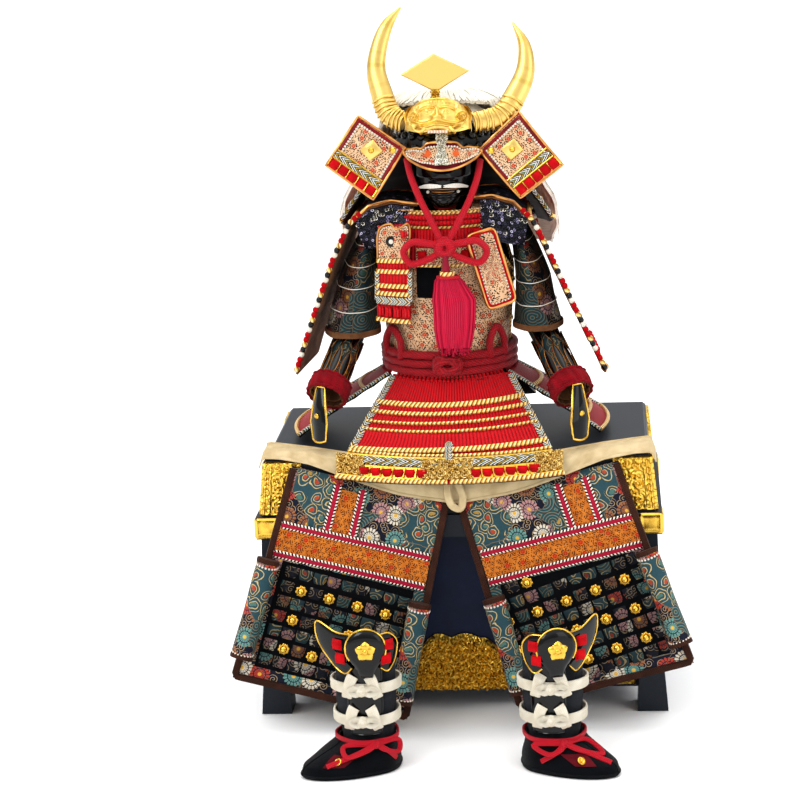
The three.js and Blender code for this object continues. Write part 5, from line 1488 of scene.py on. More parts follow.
def lion_height(x, z):
    """A lion's face in relief: brow, eyes, broad nose, lips, tusks, ears and curled cheeks."""
    side = np.abs(x)
    height = 0.45 * np.clip(1 - (x / 38) ** 2, 0, 1)
    height += 0.55 * bump(x, z, 0, 15, 5.0, 3.2) + 0.3 * bump(side, z, 4.2, 14, 2.4, 2.2)
    height += 0.3 * bump(x, z, 0, 21, 2.2, 5.5)
    height += 0.5 * bump(side, z, 10.5, 20, 3.6, 2.5) - 0.38 * bump(side, z, 10.5, 19.6, 1.5, 1.1)
    brow = 24.6 - 0.035 * (side - 8) ** 2
    height += 0.5 * np.exp(-((z - brow) / 1.5) ** 2) * smooth(20, 16, side) * smooth(1.5, 4, side)
    lip = 9.6 + 1.5 * np.cos(side / 5.5) + 0.012 * np.maximum(0, side - 15) ** 2
    height += 0.42 * np.exp(-((z - lip) / 1.3) ** 2) * smooth(29, 25, side)
    height += 0.28 * np.exp(-((z - lip + 3.9) / 1.1) ** 2) * smooth(24, 20, side)
    height += 0.55 * bump(side - 0.8 * (z - 2), z, 15.5, 2.6, 3.2, 3.4)
    curl = np.hypot(side - 25, (z - 14) * 1.1)
    height += 0.34 * (0.5 + 0.5 * np.cos(curl * 1.75 + np.arctan2(z - 14, side - 25))) * smooth(8, 5, curl)
    height += 0.4 * bump(side, z, 22.5, 23.5, 3.2, 4.2) - 0.25 * bump(side, z, 22.5, 23.5, 1.3, 2.4)
    height += 0.4 * bump(x, z, 0, 30, 7, 3.4) * (0.75 + 0.25 * np.cos(1.9 * x))
    height -= 0.25 * bump(x, z, 0, 1.2, 11, 2.0)
    return height


def helmet_bowl():
    stock = Stock()
    rows = net(lambda u, v: dome(2 * pi * u, 1.53 * v, 0.9 * abs(cos(16 * pi * u)) ** 6), 128, 14)[:, :-1]
    stock.slab(rows, 2.0, at(HELMET["x"], HELMET["y"], HELMET["rim"] - 5) - rows, closed=True)
    stock.add(rows[-1], [list(range(128))], [(0, 0)] * 128)
    heart = at(HELMET["x"], HELMET["y"], HELMET["rim"])
    for rise, first in ((0.13, 0.3), (0.4, 0.42)):
        for angle in np.arange(first, 1.5, 0.235):
            for hand in (LEFT, RIGHT):
                spot = dome(hand * angle, rise, 0.5)
                stock.turned([(spot, spot - heart)], [(4.3, 0), (4.1, 1.6), (2.8, 3.2), (0.05, 3.9)], 12)
    band = [dome(a, 0.0, 1.8) + at(0, 0, 0.6) for a in linspace(-1.25, 1.25, 60)]
    stock.sweep(band, ribbon(5.5, 3), [unit(p - heart) for p in band], 1)
    stock.sweep([p + at(0, -0.4, 4.2) for p in band], disc(1.3, 6), finish=2)
    stock.piece("helmet_bowl_ribbed", ["lacquer", "felt", "gilt"], ("helmet_bowl",))


def neck_guard():
    def point(u, v, out=0.0):
        angle = lerp(-NECK_GUARD["reach"], NECK_GUARD["reach"], u)
        half, deep = lerp(*NECK_GUARD["half"], v) + out, lerp(*NECK_GUARD["deep"], v) + out
        low = lerp(530, 500, min(1, 1.6 * cos(angle / 2) ** 2))
        step = 1.3 * (1 - (v * 4) % 1) * (v < 0.999)
        return at(HELMET["x"] + half * sin(angle), HELMET["y"] + deep * cos(angle), lerp(HELMET["rim"] + 1,
            low, v) + step + out * 0.5)

    stock = Stock()
    rows = net(point, 110, 32)
    stock.slab(rows, 2.6, at(HELMET["x"], HELMET["y"], 480) - rows, 0, 1)
    for place in (0.0, 0.24, 0.49, 0.74, 0.99):
        stock.sweep(across(point, place, 1.0, 110), ribbon(3.0, 3.0), finish=2)
    stock.trims(point, (0.003, 0.997), 0.6, (4.2, 3.0), AHEAD, 3, 30, 0.02, 0.99, down)
    # The darker lacing here is painted shade: the neck guard's laces sit beneath the wings.
    stock.piece("neck_guard_laced", ["dark lacing", "dark lining", "gilt", "zigzag braid"],
        ("helmet_neck_guard",))


def visor():
    def point(s, v, out=0.0):
        low = at(-7 + 40 * s, 30 + 25 * s * s, 571 + 13 * s * s)
        high = at(-7 + 40 * s, 47 + 11 * s * s, 598 - 10 * s * s)
        near = abs(s)
        start = 0.16 * exp(-((near - 0.52) / 0.08) ** 2) + 0.1 * smooth(0.5, 0.6, near)
        start += 0.3 * smooth(0.82, 1, near) ** 2
        end = 1 - 0.3 * smooth(0.84, 1, near) ** 2
        return lerp(high, low, lerp(start, end, v)) + at(0, -0.75, 0.66) * (out + 1.5 * sin(pi * v))

    def loop(inset, out):
        reach = 1 - inset * 0.42
        return edge_loop(point, (-reach, reach), (inset, 1 - inset), (60, 8), out)

    stock = Stock()
    stock.slab(net(lambda u, v: point(2 * u - 1, v), 60, 12), 1.8, at(0, 1, -0.8), 0, 1)
    stock.grid(part_of(point, (-0.9, 0.9), (0.17, 0.84), 0.5, 50, 10), 2)
    stock.sweep(loop(0.0, 0.2), disc(1.5, 8), at(0, -0.7, 0.7), 6, closed=True)
    dots = resample(np.concatenate([loop(0.19, 1.0), loop(0.19, 1.0)[:1]]), 3.0)
    stock.turned([(p, at(0, -0.75, 0.66)) for p in dots], [(1.2, 0), (1.0, 0.7), (0.05, 1.1)], 6, 4)
    for side, flower in ((-1, 0.36), (1, 0.37)):
        for ring, count in ((1.0, 11), (0.55, 7)):
            for a in turns(count):
                petal = net(lambda u, v: point(side * flower + (0.115 * ring * v * cos(a) - 0.014
                    * (2 * u - 1) * sin(pi * v) * sin(a)), 0.47 + (0.19 * ring * v * sin(a) + 0.026
                    * (2 * u - 1) * sin(pi * v) * cos(a)), 0.8 + 0.25 * (ring < 1) + 0.2 * sin(pi * u)), 3, 4)
                stock.grid(petal, 5)
    stock.piece("visor_leather", ["maroon", "red lacquer", "leather", "gilt", "stitch", "orange print",
        "rim"], ("helmet_visor",))
    fitting = Stock()
    x, t = np.meshgrid(linspace(-7, 7, 41), linspace(0, 1, 61))
    z = 26 * (1 - t)
    wide = 5.2 + 1.3 * np.sin(3 * pi * t) + 1.5 * smooth(0.7, 1, t)
    line = np.array([point(0, lerp(-0.32, 0.88, k), 2.2) for k in linspace(0, 1, 61)])
    relief = 0.5 + 2.4 * scroll_height(x, z, 5, 6.0, 5.4) * smooth(0, 1.5, wide - abs(x) * wide / 7)
    fitting.slab(line[:, None] + (x / 7 * wide)[..., None] * at(1, 0, 0) + relief[..., None] * at(0, -0.8,
        0.6), 1.4, at(0, 1, -0.6))
    fitting.piece("visor_fitting", ["silver"])


def wing(hand, end):
    inner, top, outer, low = (at(*corner) for corner in WINGS[hand])
    facing = unit(at(0.04 * hand, -0.92, 0.35))

    def point(u, v, out=0.0):
        return lerp(lerp(inner, top, u), lerp(low, outer, u), v) + at(0, -4 * sin(pi * v), 0) + facing * out

    def loop(inset, out):
        return edge_loop(point, (inset, 1 - inset), (inset, 1 - inset), (24, 24), out)

    stock = Stock()
    stock.slab(net(point, 24, 24), 2.6, BACK, 0, 1)
    stock.sweep(loop(0.0, 0.2), disc(1.4, 8), facing, 7, closed=True)
    stock.sweep(loop(0.055, 0.5), ribbon(3.2, 1.4), facing, 1, closed=True)
    stock.turned([(p, facing) for p in resample(loop(0.1, 0.6), 3.1)], [(1.35, 0), (1.2, 0.8), (0.05, 1.3)],
        6, 3)
    for place, wide, kind in ((0.66, 1.8, 2), (0.735, 7.2, 4), (0.81, 1.8, 2), (0.985, 1.8, 7)):
        stock.trims(point, (place,), 1.0, (wide, 2.2), facing, kind, 40, 0.03, 0.97)
    along = unit(outer - low)
    tufts = [(point(u, 0.9, 0.8), along, np.cross(facing, along)) for u in (0.12, 0.31, 0.5, 0.69, 0.88)]
    stock.pads(tufts, 10, 10.5, 5, 5)
    for u in (0.025, 0.215, 0.405, 0.595, 0.785, 0.975):
        stock.sweep([point(u, 0.83, 2.0), point(u, 0.97, 2.0)], disc(1.3, 6), finish=2)
    stock.turned([(point(0.16, 0.14, 0.5), facing)], [(3.4, 0), (3.6, 1), (2.2, 2.4), (0.05, 3)], 12, 2)
    heart = point(0.47, 0.35, 1.0)
    right = -unit(np.cross(UP, facing))
    star = [(1.12, 0.1), (0.45, 0.62), (-0.2, 1.1), (-0.68, 0.45)]
    star += [(-x, -y) for x, y in star]
    rings = [[heart + (right * x + UP * y) * reach + facing * lift for x, y in star] for reach,
        lift in ((10.5, 0), (10.5, 1.6), (9.0, 2.5), (2.5, 2.7))]
    stock.grid(np.array(rings), 6, closed=True)
    stock.turned([(heart + facing * 2.2, facing)], [(3.2, 0), (3.0, 1.1), (1.6, 2.1), (0.05, 2.5)], 12, 2)
    stock.piece(f"wing_leather_{end}", ["leather", "red lacquer", "gilt", "stitch", "zigzag braid", "felt",
        "satin gilt", "rim"], (f"helmet_wing_{end}",))


def horn(hand, end):
    table = curve(HORNS[hand], 60)
    stock = Stock()
    stock.sweep(table[:, :3], HORN_FLUTE, AHEAD, taper=table[:, 3:5])
    ahead = unit(np.gradient(table[:, :3], axis=0))
    across = unit(np.cross(ahead, BACK))
    face = np.cross(across, ahead)
    face *= np.where(face[:, 1:2] > 0, -1.0, 1.0)
    last = 17 if hand == LEFT else 22
    for k in linspace(1, last, 9).astype(int):
        spot, wide, deep = table[k, :3], table[k, 3], table[k, 4]
        rib = [spot + across[k] * wide * 1.02 * s + face[k] * (deep * 1.02 * sqrt(max(0, 1 - 0.8 * s * s))
            + 0.3) - ahead[k] * 2.5 * s * s for s in linspace(-1, 1, 13)]
        stock.sweep(rib, disc(1.5, 8), face[k], taper=[0.5] + [1.0] * 11 + [0.5])
    stock.piece(f"horn_gilt_{end}", ["satin gilt"], (f"helmet_horn_{end}",), sharp=60)


def lion():
    s, t = np.meshgrid(linspace(-1, 1, 141), linspace(0, 1, 81))
    top = 33 * (1 - np.abs(s) ** 2.4) ** 0.5 + 1.5
    x, z = 34.5 * s, top * t + 1.2 * np.cos(6 * s) * (1 - t)
    edge = smooth(0, 0.1, 1 - np.abs(s)) * smooth(0, 0.12, 1 - t)
    lift = (7.5 * lion_height(x, z) + 1.0) * (0.25 + 0.75 * edge)
    points = np.stack([-10.5 + x, 44.5 + 0.2 * z - 0.98 * lift + 9 * (x / 34.5) ** 2, 609 + 0.98 * z + 0.2
        * lift], axis=-1)
    stock = Stock()
    stock.slab(points, 9, at(0, 1, -0.1))
    for side in (-1, 1):
        tusk = [at(-10.5 + side * 13, 38, 614), at(-10.5 + side * 17, 35, 610.5), at(-10.5 + side * 22, 36,
            611.5), at(-10.5 + side * 25, 38, 615)]
        stock.sweep(curve(tusk, 12), disc(2.0, 8), taper=linspace(1.1, 0.15, 13))
    stock.pads([(at(-10.5 + x, 40.5 + 0.01 * x * x, 609.5), at(1, 0, 0), UP) for x in linspace(-9, 9, 7)],
        2.6, 3.2, 2.2, 1)
    stock.piece("lion_relief", ["lion gilt", "tooth"], ("helmet_lion",), sharp=70)


def crest_plate():
    outline = np.array(CREST_OUTLINE, float)

    def ring(shrink, lift):
        spots = outline.copy()
        spots[[0, 1, 4, 5, 6]] *= shrink
        return np.array([at(CREST["x"] + x, CREST["y"] - lift, CREST["z"] + z) for x, z in spots])

    stock = Stock()
    rings = np.array([ring(1, -1.2), ring(1, 0.6), ring(0.93, 1.5)])
    stock.grid(rings, 0, closed=True)
    for k, order in ((0, 1), (2, -1)):
        stock.add(rings[k], [list(range(7))[::order]], [(0, 0)] * 7)
    stem = [at(CREST["x"], CREST["y"] - 1.5, CREST["z"] + z) for z in (-27, -22, -17, -14)]
    stock.sweep(stem, ribbon(8.6, 2.6), AHEAD, 1)
    for z in (-25, -16.5):
        stock.sweep([at(CREST["x"] + x, CREST["y"] - 3, CREST["z"] + z) for x in (-5, 0, 5)], disc(1.2, 8),
            finish=1)
    stock.piece("crest_plate_gilt", ["satin gilt", "relief gilt"], ("helmet_crest_plate",), sharp=30)


def build_helmet():
    helmet_bowl()
    neck_guard()
    visor()
    lion()
    crest_plate()
    for hand, end in SIDES:
        wing(hand, end)
        horn(hand, end)


# ---- Hair and mask ----

HAIR = ((0, 0, 0, 645), (0.15, 30, 28, 644), (0.3, 56, 54, 634), (0.4, 65, 66, 616), (0.5, 71, 75, 596),
    (0.65, 90, 86, 566), (0.8, 120, 101, 522), (0.9, 126, 106, 495), (1, 127, 107, 472))
MASK = ((526, 11, 33), (531, 18, 39), (540, 26, 43), (550, 31, 43), (561, 35, 45), (573, 34, 41))


def hair_point(u, v, out=0.0):
    angle = 2 * pi * u
    behind = -cos(angle)
    swept = smooth(-0.15, 0.55, behind)
    reach = lerp(0.25, 1, swept) + 0.1 * (1 - swept) * abs(sin(angle)) ** 3
    half, deep, z = row_at(HAIR, min(1, v * reach))
    deep *= 1 if behind > 0 else 0.88
    rise = out * smooth(0.5, 0.2, v * reach)
    return at(HELMET["x"] + (half + out) * sin(angle), HELMET["y"] - (deep + out) * cos(angle), z + rise * 0.8
        - 60 * max(0, v * reach - 1))


def build_hair():
    chance = random.Random(11)
    strand = sizes().strand / MM
    stock = Stock()
    rows = net(lambda u, v: hair_point(u, 0.012 + 0.988 * v, 0.7 * sin(37 * 2 * pi * u + 5 * v) + 0.6
        * sin(61 * 2 * pi * u)), 240, 36)[:, :-1]
    uv = np.stack(np.meshgrid(linspace(0, 500, 241), linspace(0, 220, 37))[::-1], axis=-1)
    stock.slab(rows, 3.0, at(HELMET["x"], HELMET["y"], 500) - rows, closed=True, uv=uv)
    for k in range(560):
        u = (k * 0.618034) % 1.0 + chance.uniform(-0.01, 0.01)
        first = chance.choice((0.0, 0.02, 0.12, 0.3, 0.45))
        last = min(1.05, first + chance.uniform(0.45,
            0.75)) if chance.random() < 0.6 else chance.uniform(0.97, 1.06)
        drift, bend, phase = chance.uniform(-0.02, 0.02), chance.uniform(0, 0.006), chance.uniform(0, 6.28)
        lift = chance.uniform(0.2, 2.6)
        path = []
        for v in linspace(first, last, 16):
            place = u + drift * (v - first) + bend * sin(7 * v + phase)
            path.append(hair_point(place, max(v, 0.01), 0.6 + lift * sin(pi * min(1, (v - first)
                / (last - first)))))
        thick = strand * chance.uniform(0.6, 1.3)
        stock.sweep(path, disc(thick, 5, 0.7), taper=np.concatenate([[0.4, 0.8], np.ones(10), [0.9, 0.75, 0.5,
            0.15]]))
    for k in range(170):
        angle, drift = chance.uniform(-1.35, 1.35), chance.uniform(-0.15, 0.15)
        last = chance.uniform(0.5, 0.72) - 0.25 * abs(angle) ** 2 * 0.4
        path = [dome(angle + drift * t, lerp(1.45, last, t), 3.5 + 5.5 * sin(pi * min(1, 0.25 + 0.75 * t)))
            for t in linspace(0, 1, 12)]
        stock.sweep(path, disc(strand * chance.uniform(0.8, 1.5), 5, 0.7), taper=np.concatenate([[0.5],
            np.ones(7), [0.85, 0.65, 0.4, 0.12]]))
    stock.piece("hair_white", ["hair"], ("helmet_hair",), sharp=80)


def build_mask():
    def point(s, z, out=0.0):
        half, front = row_at(MASK, z)
        side = abs(s)
        relief = 6.0 * bump(s, z, 0, 566, 0.24, 7.5) + 1.2 * bump(side, z, 0.17, 561, 0.1, 3.2)
        relief += 1.2 * bump(side, z, 0.55, 561, 0.3, 8) + 1.6 * bump(s, z, 0, 552.5, 0.55, 4.0)
        relief -= 2.0 * bump(s, z, 0, 546.8, 0.36, 1.6)
        relief += 2.0 * bump(s, z, 0, 543.2, 0.34, 2.2) + 3.4 * bump(s, z, 0, 534, 0.42, 4.2)
        relief += 0.8 * cos(1.9 * (z - 540)) * bump(s, z, 0, 539, 0.3, 3)
        angle = 1.35 * s
        reach = out + relief
        return at(-8 + (half + reach) * sin(angle), 95 - (front + reach) * cos(angle), z)

    stock = Stock()
    rows = net(lambda u, v: point(2 * u - 1, lerp(573, 526, v)), 90, 70)
    stock.slab(rows, 2.2, at(-8, 95, 0) - rows * at(1, 1, 0), 0, 1)
    stock.sweep([point(s, 548.4 - 3 * s * s, 0.4) for s in linspace(-0.36, 0.36, 30)], disc(0.8, 6), finish=2)
    stock.sweep([point(s, 545.4 + 2 * s * s, 0.4) for s in linspace(-0.3, 0.3, 26)], disc(0.7, 6), finish=2)
    stock.sweep([point(s, 526.4, 0.4) for s in linspace(-0.98, 0.98, 50)], disc(1.3, 8), finish=1)
    for side in (-1, 1):
        stock.turned([(point(side * 0.42, 545, 0.2), at(side * 0.4, -1, 0))], [(1.7, 0), (1.6, 1.2),
            (0.9, 2.1), (0.05, 2.4)], 10, 3)
    stock.piece("half_mask", ["lacquer", "red lacquer", "bronze", "stitch"], ("face_mask",), sharp=70)
    whiskers = Stock()
    chance = random.Random(4)
    for side in (-1, 1):
        for k in range(26):
            share = k / 25
            start = chance.uniform(0.01, 0.12)
            path = [point(side * lerp(start, 0.72 - 0.1 * abs(share - 0.6), t), 553.2 - 2.6 * share
                + (1.8 - 2.0 * share) * sin(pi * min(1, 1.2 * t)) * 0.8 - 3.4 * t * t, 1.2 + 1.4
                * sin(pi * t)) for t in linspace(0, 1, 14)]
            whiskers.sweep(path, disc(0.5, 5), taper=np.concatenate([linspace(0.6, 1, 4), linspace(1, 0.12,
                10)]))
    whiskers.piece("moustache", ["hair"])


# ---- Cords, bow, tassel and waist rope ----

KNOT = at(-6.5, 34, 491)
CORD_ROUTES = {LEFT: ((-45, 64, 579), (-40, 51, 562), (-31, 43, 540), (-20, 38, 518), (-9, 34.5, 495)),
    RIGHT: ((31, 64, 576), (28, 51, 560), (20, 43, 539), (9, 38, 518), (-4, 34.5, 495))}
BOW_LOOP = ((2, 0, 1), (18, -2, 5), (34, -1, 6), (43, 0, -4), (36, 0, -16), (18, -1, -12), (2, 0, -3))
TASSEL = (  # height, half width, half depth, middle
    (386, 16.8, 6.5, 1), (405, 20.16, 7, 1), (437, 21.84, 7.5, 1), (458, 14.28, 6.5, -3),
    (466, 4.2, 4.5, -5), (484, 2.52, 3, -6),
)


def tilted_ring(middle, wide, high, tilt, bend, count):
    """One turn of a cord round the front of a knot, tilted, and bent back at its middle."""
    turn = turns(count)
    x, z = wide * np.cos(turn), high * np.sin(turn)
    return np.stack([middle[0] + x * cos(tilt) - z * sin(tilt), middle[1] + bend * np.cos(2 * turn), middle[2]
        + x * sin(tilt) + z * cos(tilt)], axis=1)


def chin_bow():
    radius = sizes().cord / MM / 2
    for hand, end in SIDES:
        stock = Stock()
        route = curve(CORD_ROUTES[hand], 40)
        stock.sweep(route, disc(radius, 12))
        made = stock.piece(f"chin_cord_{end}", ["cord"], (f"helmet_cord_{end}",))
        line = [tuple(spot) for spot in (route + SHIFT) * MM]
        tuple(line[0])
    stock = Stock()
    for hand in (LEFT, RIGHT):
        loop = [KNOT + at(hand * x, y, z) for x, y, z in BOW_LOOP]
        stock.sweep(curve(loop, 48), disc(radius, 12))
    for tilt, wide, high, ahead in ((0.5, 8.4, 5.6, 3.6), (-0.5, 8.4, 5.6, 3.2), (1.57, 8.6, 4.6, 2.4),
            (0.0, 9.0, 4.2, 0.6)):
        ring = tilted_ring(KNOT + AHEAD * ahead, wide, high, tilt, 1.6, 32)
        stock.sweep(ring, disc(radius * 0.9, 10), AHEAD, closed=True)
    stock.turned([(KNOT + at(0, 2, 0), AHEAD)], [(7.5, -3), (8.5, 0), (7, 4), (3.5, 6), (0.05, 6.4)], 14)
    stock.piece("cord_bow_tied", ["cord"], ("cord_bow",))


def tassel():
    stock = Stock()
    angles = turns(150)
    rows = []
    for z in linspace(484, 387, 40):
        half, deep, middle = row_at(TASSEL, z)
        ridge = 1 + 0.045 * smooth(470, 455, z) * np.cos(angles * 50 + 0.15 * sin(z / 9))
        rows.append(np.stack([middle + half * ridge * np.cos(angles) + 0.6 * sin(z / 13), 29 + deep * ridge
            * np.sin(angles), np.full(150, z)], axis=1))
    rows = np.array(rows)
    stock.grid(rows, 0, closed=True)
    stock.add(rows[-1], [list(range(150))], [(0, 0)] * 150)
    chance = random.Random(8)
    for a in turns(110):
        share = chance.uniform(0.3, 1.0)
        half, deep, middle = row_at(TASSEL, 388)
        x, y = middle + half * share * cos(a), 29 + deep * share * sin(a)
        low = 378 + chance.uniform(0, 7)
        path = [at(x, y, 396), at(x + chance.uniform(-1, 1), y - 0.3, 388), at(x + chance.uniform(-2, 2), y,
            low)]
        stock.sweep(curve(path, 6), disc(0.8, 5))
    for height, wide, kind in ((464.5, 4.2, 1), (461, 3.0, 2)):
        half, deep, middle = row_at(TASSEL, height)
        ring = [at(middle + (half + 0.6) * cos(a), 29 + (deep + 0.6) * sin(a), height) for a in turns(48)]
        stock.sweep(ring, ribbon(2.6, wide), UP, kind, closed=True)
    stock.piece("tassel_threads", ["tassel", "gold row", "cord"], ("cord_tassel",), sharp=80)


def waist_rope():
    stock = Stock()
    twist = 6 * turns(180)
    for strand in range(3):
        height = 357.2 + 8.6 * strand
        path = np.array([cuirass_point(a, height + 0.7 * sin(3 * a + strand), 5) for a in turns(180)])
        stock.sweep(path, lobed(4.7, 4, 0.16, 16), UP, turn=twist, closed=True)
    for x0, x1 in ((-74, -58), (36, 50)):
        line = [on_cuirass(x0, 370, 7), on_cuirass(x0, 388, 8), on_cuirass((x0 + x1) / 2, 402, 8),
            on_cuirass(x1, 388, 8), on_cuirass(x1, 370, 7)]
        path = curve(line, 40)
        stock.sweep(path, lobed(3.9, 4, 0.16, 16), turn=linspace(0, 6, 41))
    for tilt, ahead in ((0.35, 4.5), (-0.35, 3.5), (0.0, 1.0)):
        ring = tilted_ring(at(-8, 38.5 - ahead, 366), 12.5, 6.0, tilt, 2, 40)
        stock.sweep(ring, lobed(4.2, 4, 0.16, 16), AHEAD, turn=2 * turns(40), closed=True)
    stock.turned([(at(-8, 40, 366), AHEAD)], [(10, -3), (10.5, 0), (7, 4), (0.05, 5)], 14)
    stock.piece("waist_rope_wound", ["rope"], ("waist_rope",), sharp=80)


def build_cords():
    chin_bow()
    tassel()
    waist_rope()


# ---- Shoulders and arms ----

SHOULDER_GUARDS = {  # share, x, z, front, back
    LEFT: (
        (0, -35, 534, 62, 132), (0.13, -62, 538, 62, 133), (0.25, -86, 533, 60, 134),
        (0.37, -106, 515, 58, 136), (0.55, -124, 478, 57, 142), (0.78, -147, 418, 56, 150),
        (1, -169, 356, 55, 155),
    ),
    RIGHT: (
        (0, 24, 540, 62, 132), (0.13, 42, 541, 62, 133), (0.25, 64, 534, 60, 134), (0.37, 83, 514, 58, 136),
        (0.55, 100, 477, 57, 142), (0.78, 126, 416, 56, 150), (1, 156, 352, 55, 155),
    ),
}
UPPER_SLEEVES = {  # height, inner, outer, front, back, from the hem up
    LEFT: (
        (393, -82, -139, 50, 138), (420, -83, -132, 55, 140), (450, -83, -124, 63, 140),
        (480, -81, -111, 74, 138), (514, -66, -92, 84, 132),
    ),
    RIGHT: (
        (397, 61, 111, 50, 138), (420, 62, 105, 55, 140), (450, 62, 98, 63, 140), (480, 60, 87, 74, 138),
        (514, 46, 71, 84, 132),
    ),
}
HAND_PLATE = (  # share, aside, y, rise over the wrist, half width
    (0, 7.2, 14.4, 10.5, 6), (0.3, 9, 7, -11, 9.5), (0.6, 9.5, 4, -27, 12), (1, 9.5, 1, -46, 9.5),
)
FOREARMS = {LEFT: ((-106, 96, 404), (-134, 26, 341)), RIGHT: ((83, 96, 404), (121, 26, 339))}


def guard_point(hand, u, v, out=0.0):
    x, z, front, back = row_at(SHOULDER_GUARDS[hand], v)
    s = 2 * u - 1
    hang = smooth(0.2, 0.6, v)
    return at(x - hand * 10 * u * hang + hand * out * (0.35 + 0.5 * hang), lerp(front, back, u), z - 2 * s * s
        * (1 - hang) + out * (0.95 - 0.55 * hang))


def sleeve_point(hand, u, v, out=0.0):
    table = UPPER_SLEEVES[hand]
    z = lerp(514, table[0][0], v)
    inner, outer, front, back = row_at(table, z)
    angle = 2 * pi * u
    fold = 1.1 * sin(3 * angle + 5 * v) + 0.8 * sin(7 * angle - 9 * v) * v
    reach = out + fold * smooth(0, 0.3, v)
    return at((inner + outer) / 2 + ((outer - inner) / 2 + hand * reach) * sin(angle), (front + back) / 2
        - ((back - front) / 2 + reach) * cos(angle), z)


def arm_point(hand, u, t, radius):
    elbow, wrist = (at(*spot) for spot in FOREARMS[hand])
    along = wrist - elbow
    across = unit(np.cross(at(1, 0, 0), along))
    beside = np.cross(unit(along), across)
    turn = 2 * pi * u
    return elbow + along * t + radius * (across * cos(turn) + beside * sin(turn))


def shoulder_guard(hand, end):
    stock = Stock()
    point = partial(guard_point, hand)
    rows = net(lambda u, v: point(u, v, 1.1 * (1 - (v * 9) % 1) * smooth(0.3, 0.4, v)), 36, 108)
    stock.slab(rows, 2.6, at(-0.8 * hand, 0, -0.6), 0, 1)
    stock.grid(part_of(point, (0.04, 0.96), (0.02, 0.34), 1.0, 20, 16), 8)
    stock.trims(point, (0.35, 0.5, 0.64, 0.78, 0.98), 1.8, (5, 3), at(hand, 0, 0.5), 2, 50, 0.01, 0.99)
    for u in (0.0, 1.0):
        edge = resample(down(point, u, 1.0, 60, 0.3, 0.995), 5.6)
        facing = at(0, -1 if u == 0 else 1, 0)
        for k, spot in enumerate(edge[:-1]):
            ahead = unit(edge[k + 1] - spot)
            kind = (4, 4, 2, 5, 6)[k % 5]
            stock.turned([(spot, ahead)], [(1.8, -0.4), (2.9, 0.9), (3.1, 2.6), (2.6, 4.3), (1.6, 5.2)], 8,
                kind)
        rim = [point(u, v, 0.8) + facing * 0.6 for v in linspace(0, 0.34, 24)]
        stock.sweep(rim, disc(1.5, 8), finish=7)
    stock.sweep(across(point, 0.0, 0.8, 20), disc(1.5, 8), finish=7)
    stock.pads([(point(u, 0.93, 1.2), at(0, hand, 0), UP) for u in linspace(0.1, 0.9, 6)], 10, 9, 4, 4)
    if hand == RIGHT:
        tip = point(0.03, 0.985, 1.0)
        stock.turned([(tip, at(0.3, -1, 0))], [(4.4, 0), (4.6, 1.2), (2.6, 2.0), (0.05, 2.6)], 12, 7)
    stock.piece(f"shoulder_guard_laced_{end}", ["lacing", "lining", "gold row", "leather", "felt", "lacquer",
        "stitch", "rim", "mail"], (f"shoulder_guard_{end}",))


def shoulder_mail(hand, end):
    low = {LEFT: (at(-47, 53, 492), at(-92, 72, 484)), RIGHT: (at(34, 53, 494), at(74, 72, 484))}[hand]

    def point(u, v, out=0.0):
        top = guard_point(hand, 0.0, 0.04 + 0.3 * u) + at(0, 1.5, -4)
        return lerp(top, lerp(low[0], low[1], u), v) + at(0, -out - 4 * sin(pi * v), 0)

    stock = Stock()
    stock.slab(net(point, 24, 20), 1.4, BACK)
    cloth = stock.piece(f"shoulder_mail_{end}", ["mail"])
    rings = Stock()
    chance = random.Random(3)
    for k in range(46):
        u, v = chance.uniform(0.02, 0.98), (chance.uniform(0.0, 0.25) if k % 2 else chance.uniform(0.1, 0.95))
        spot = point(u, v, 1.0)
        slant = chance.uniform(-0.6, 0.6)
        ring = [spot + at(1.9 * cos(a), slant * cos(a), 1.6 * sin(a)) for a in turns(12)]
        rings.sweep(ring, disc(0.5, 5), AHEAD, int(k % 3 == 0), closed=True)
    rings.piece(f"shoulder_mail_rings_{end}", ["lacquer", "silver"])


def build_shoulders():
    for hand, end in SIDES:
        shoulder_guard(hand, end)
        shoulder_mail(hand, end)


def sleeve(hand, end):
    stock = Stock()
    rows = net(lambda u, v: sleeve_point(hand, u, v), 64, 30)[:, :-1]
    heart = rows.mean(axis=1, keepdims=True)
    stock.slab(rows, 1.8, heart - rows, 0, 1, closed=True)
    hem = np.array([sleeve_point(hand, u / 64, 0.975, 0.6) for u in range(64)])
    stock.sweep(hem, [(y, x) for x, y in ribbon(6.5, 1.6)], UP, 1, closed=True)
    for place in (0.2, 0.38, 0.56, 0.76):
        line = [sleeve_point(hand, u, place + 0.02 * cos(6.28 * u), 0.7) for u in linspace(-0.22, 0.25, 40)]
        stock.sweep(line, disc(0.5, 5), finish=3)
    made = stock.piece(f"sleeve_brocade_{end}", ["dark brocade", "lining", "stitch", "stitch"],
        (f"sleeve_upper_{end}",))


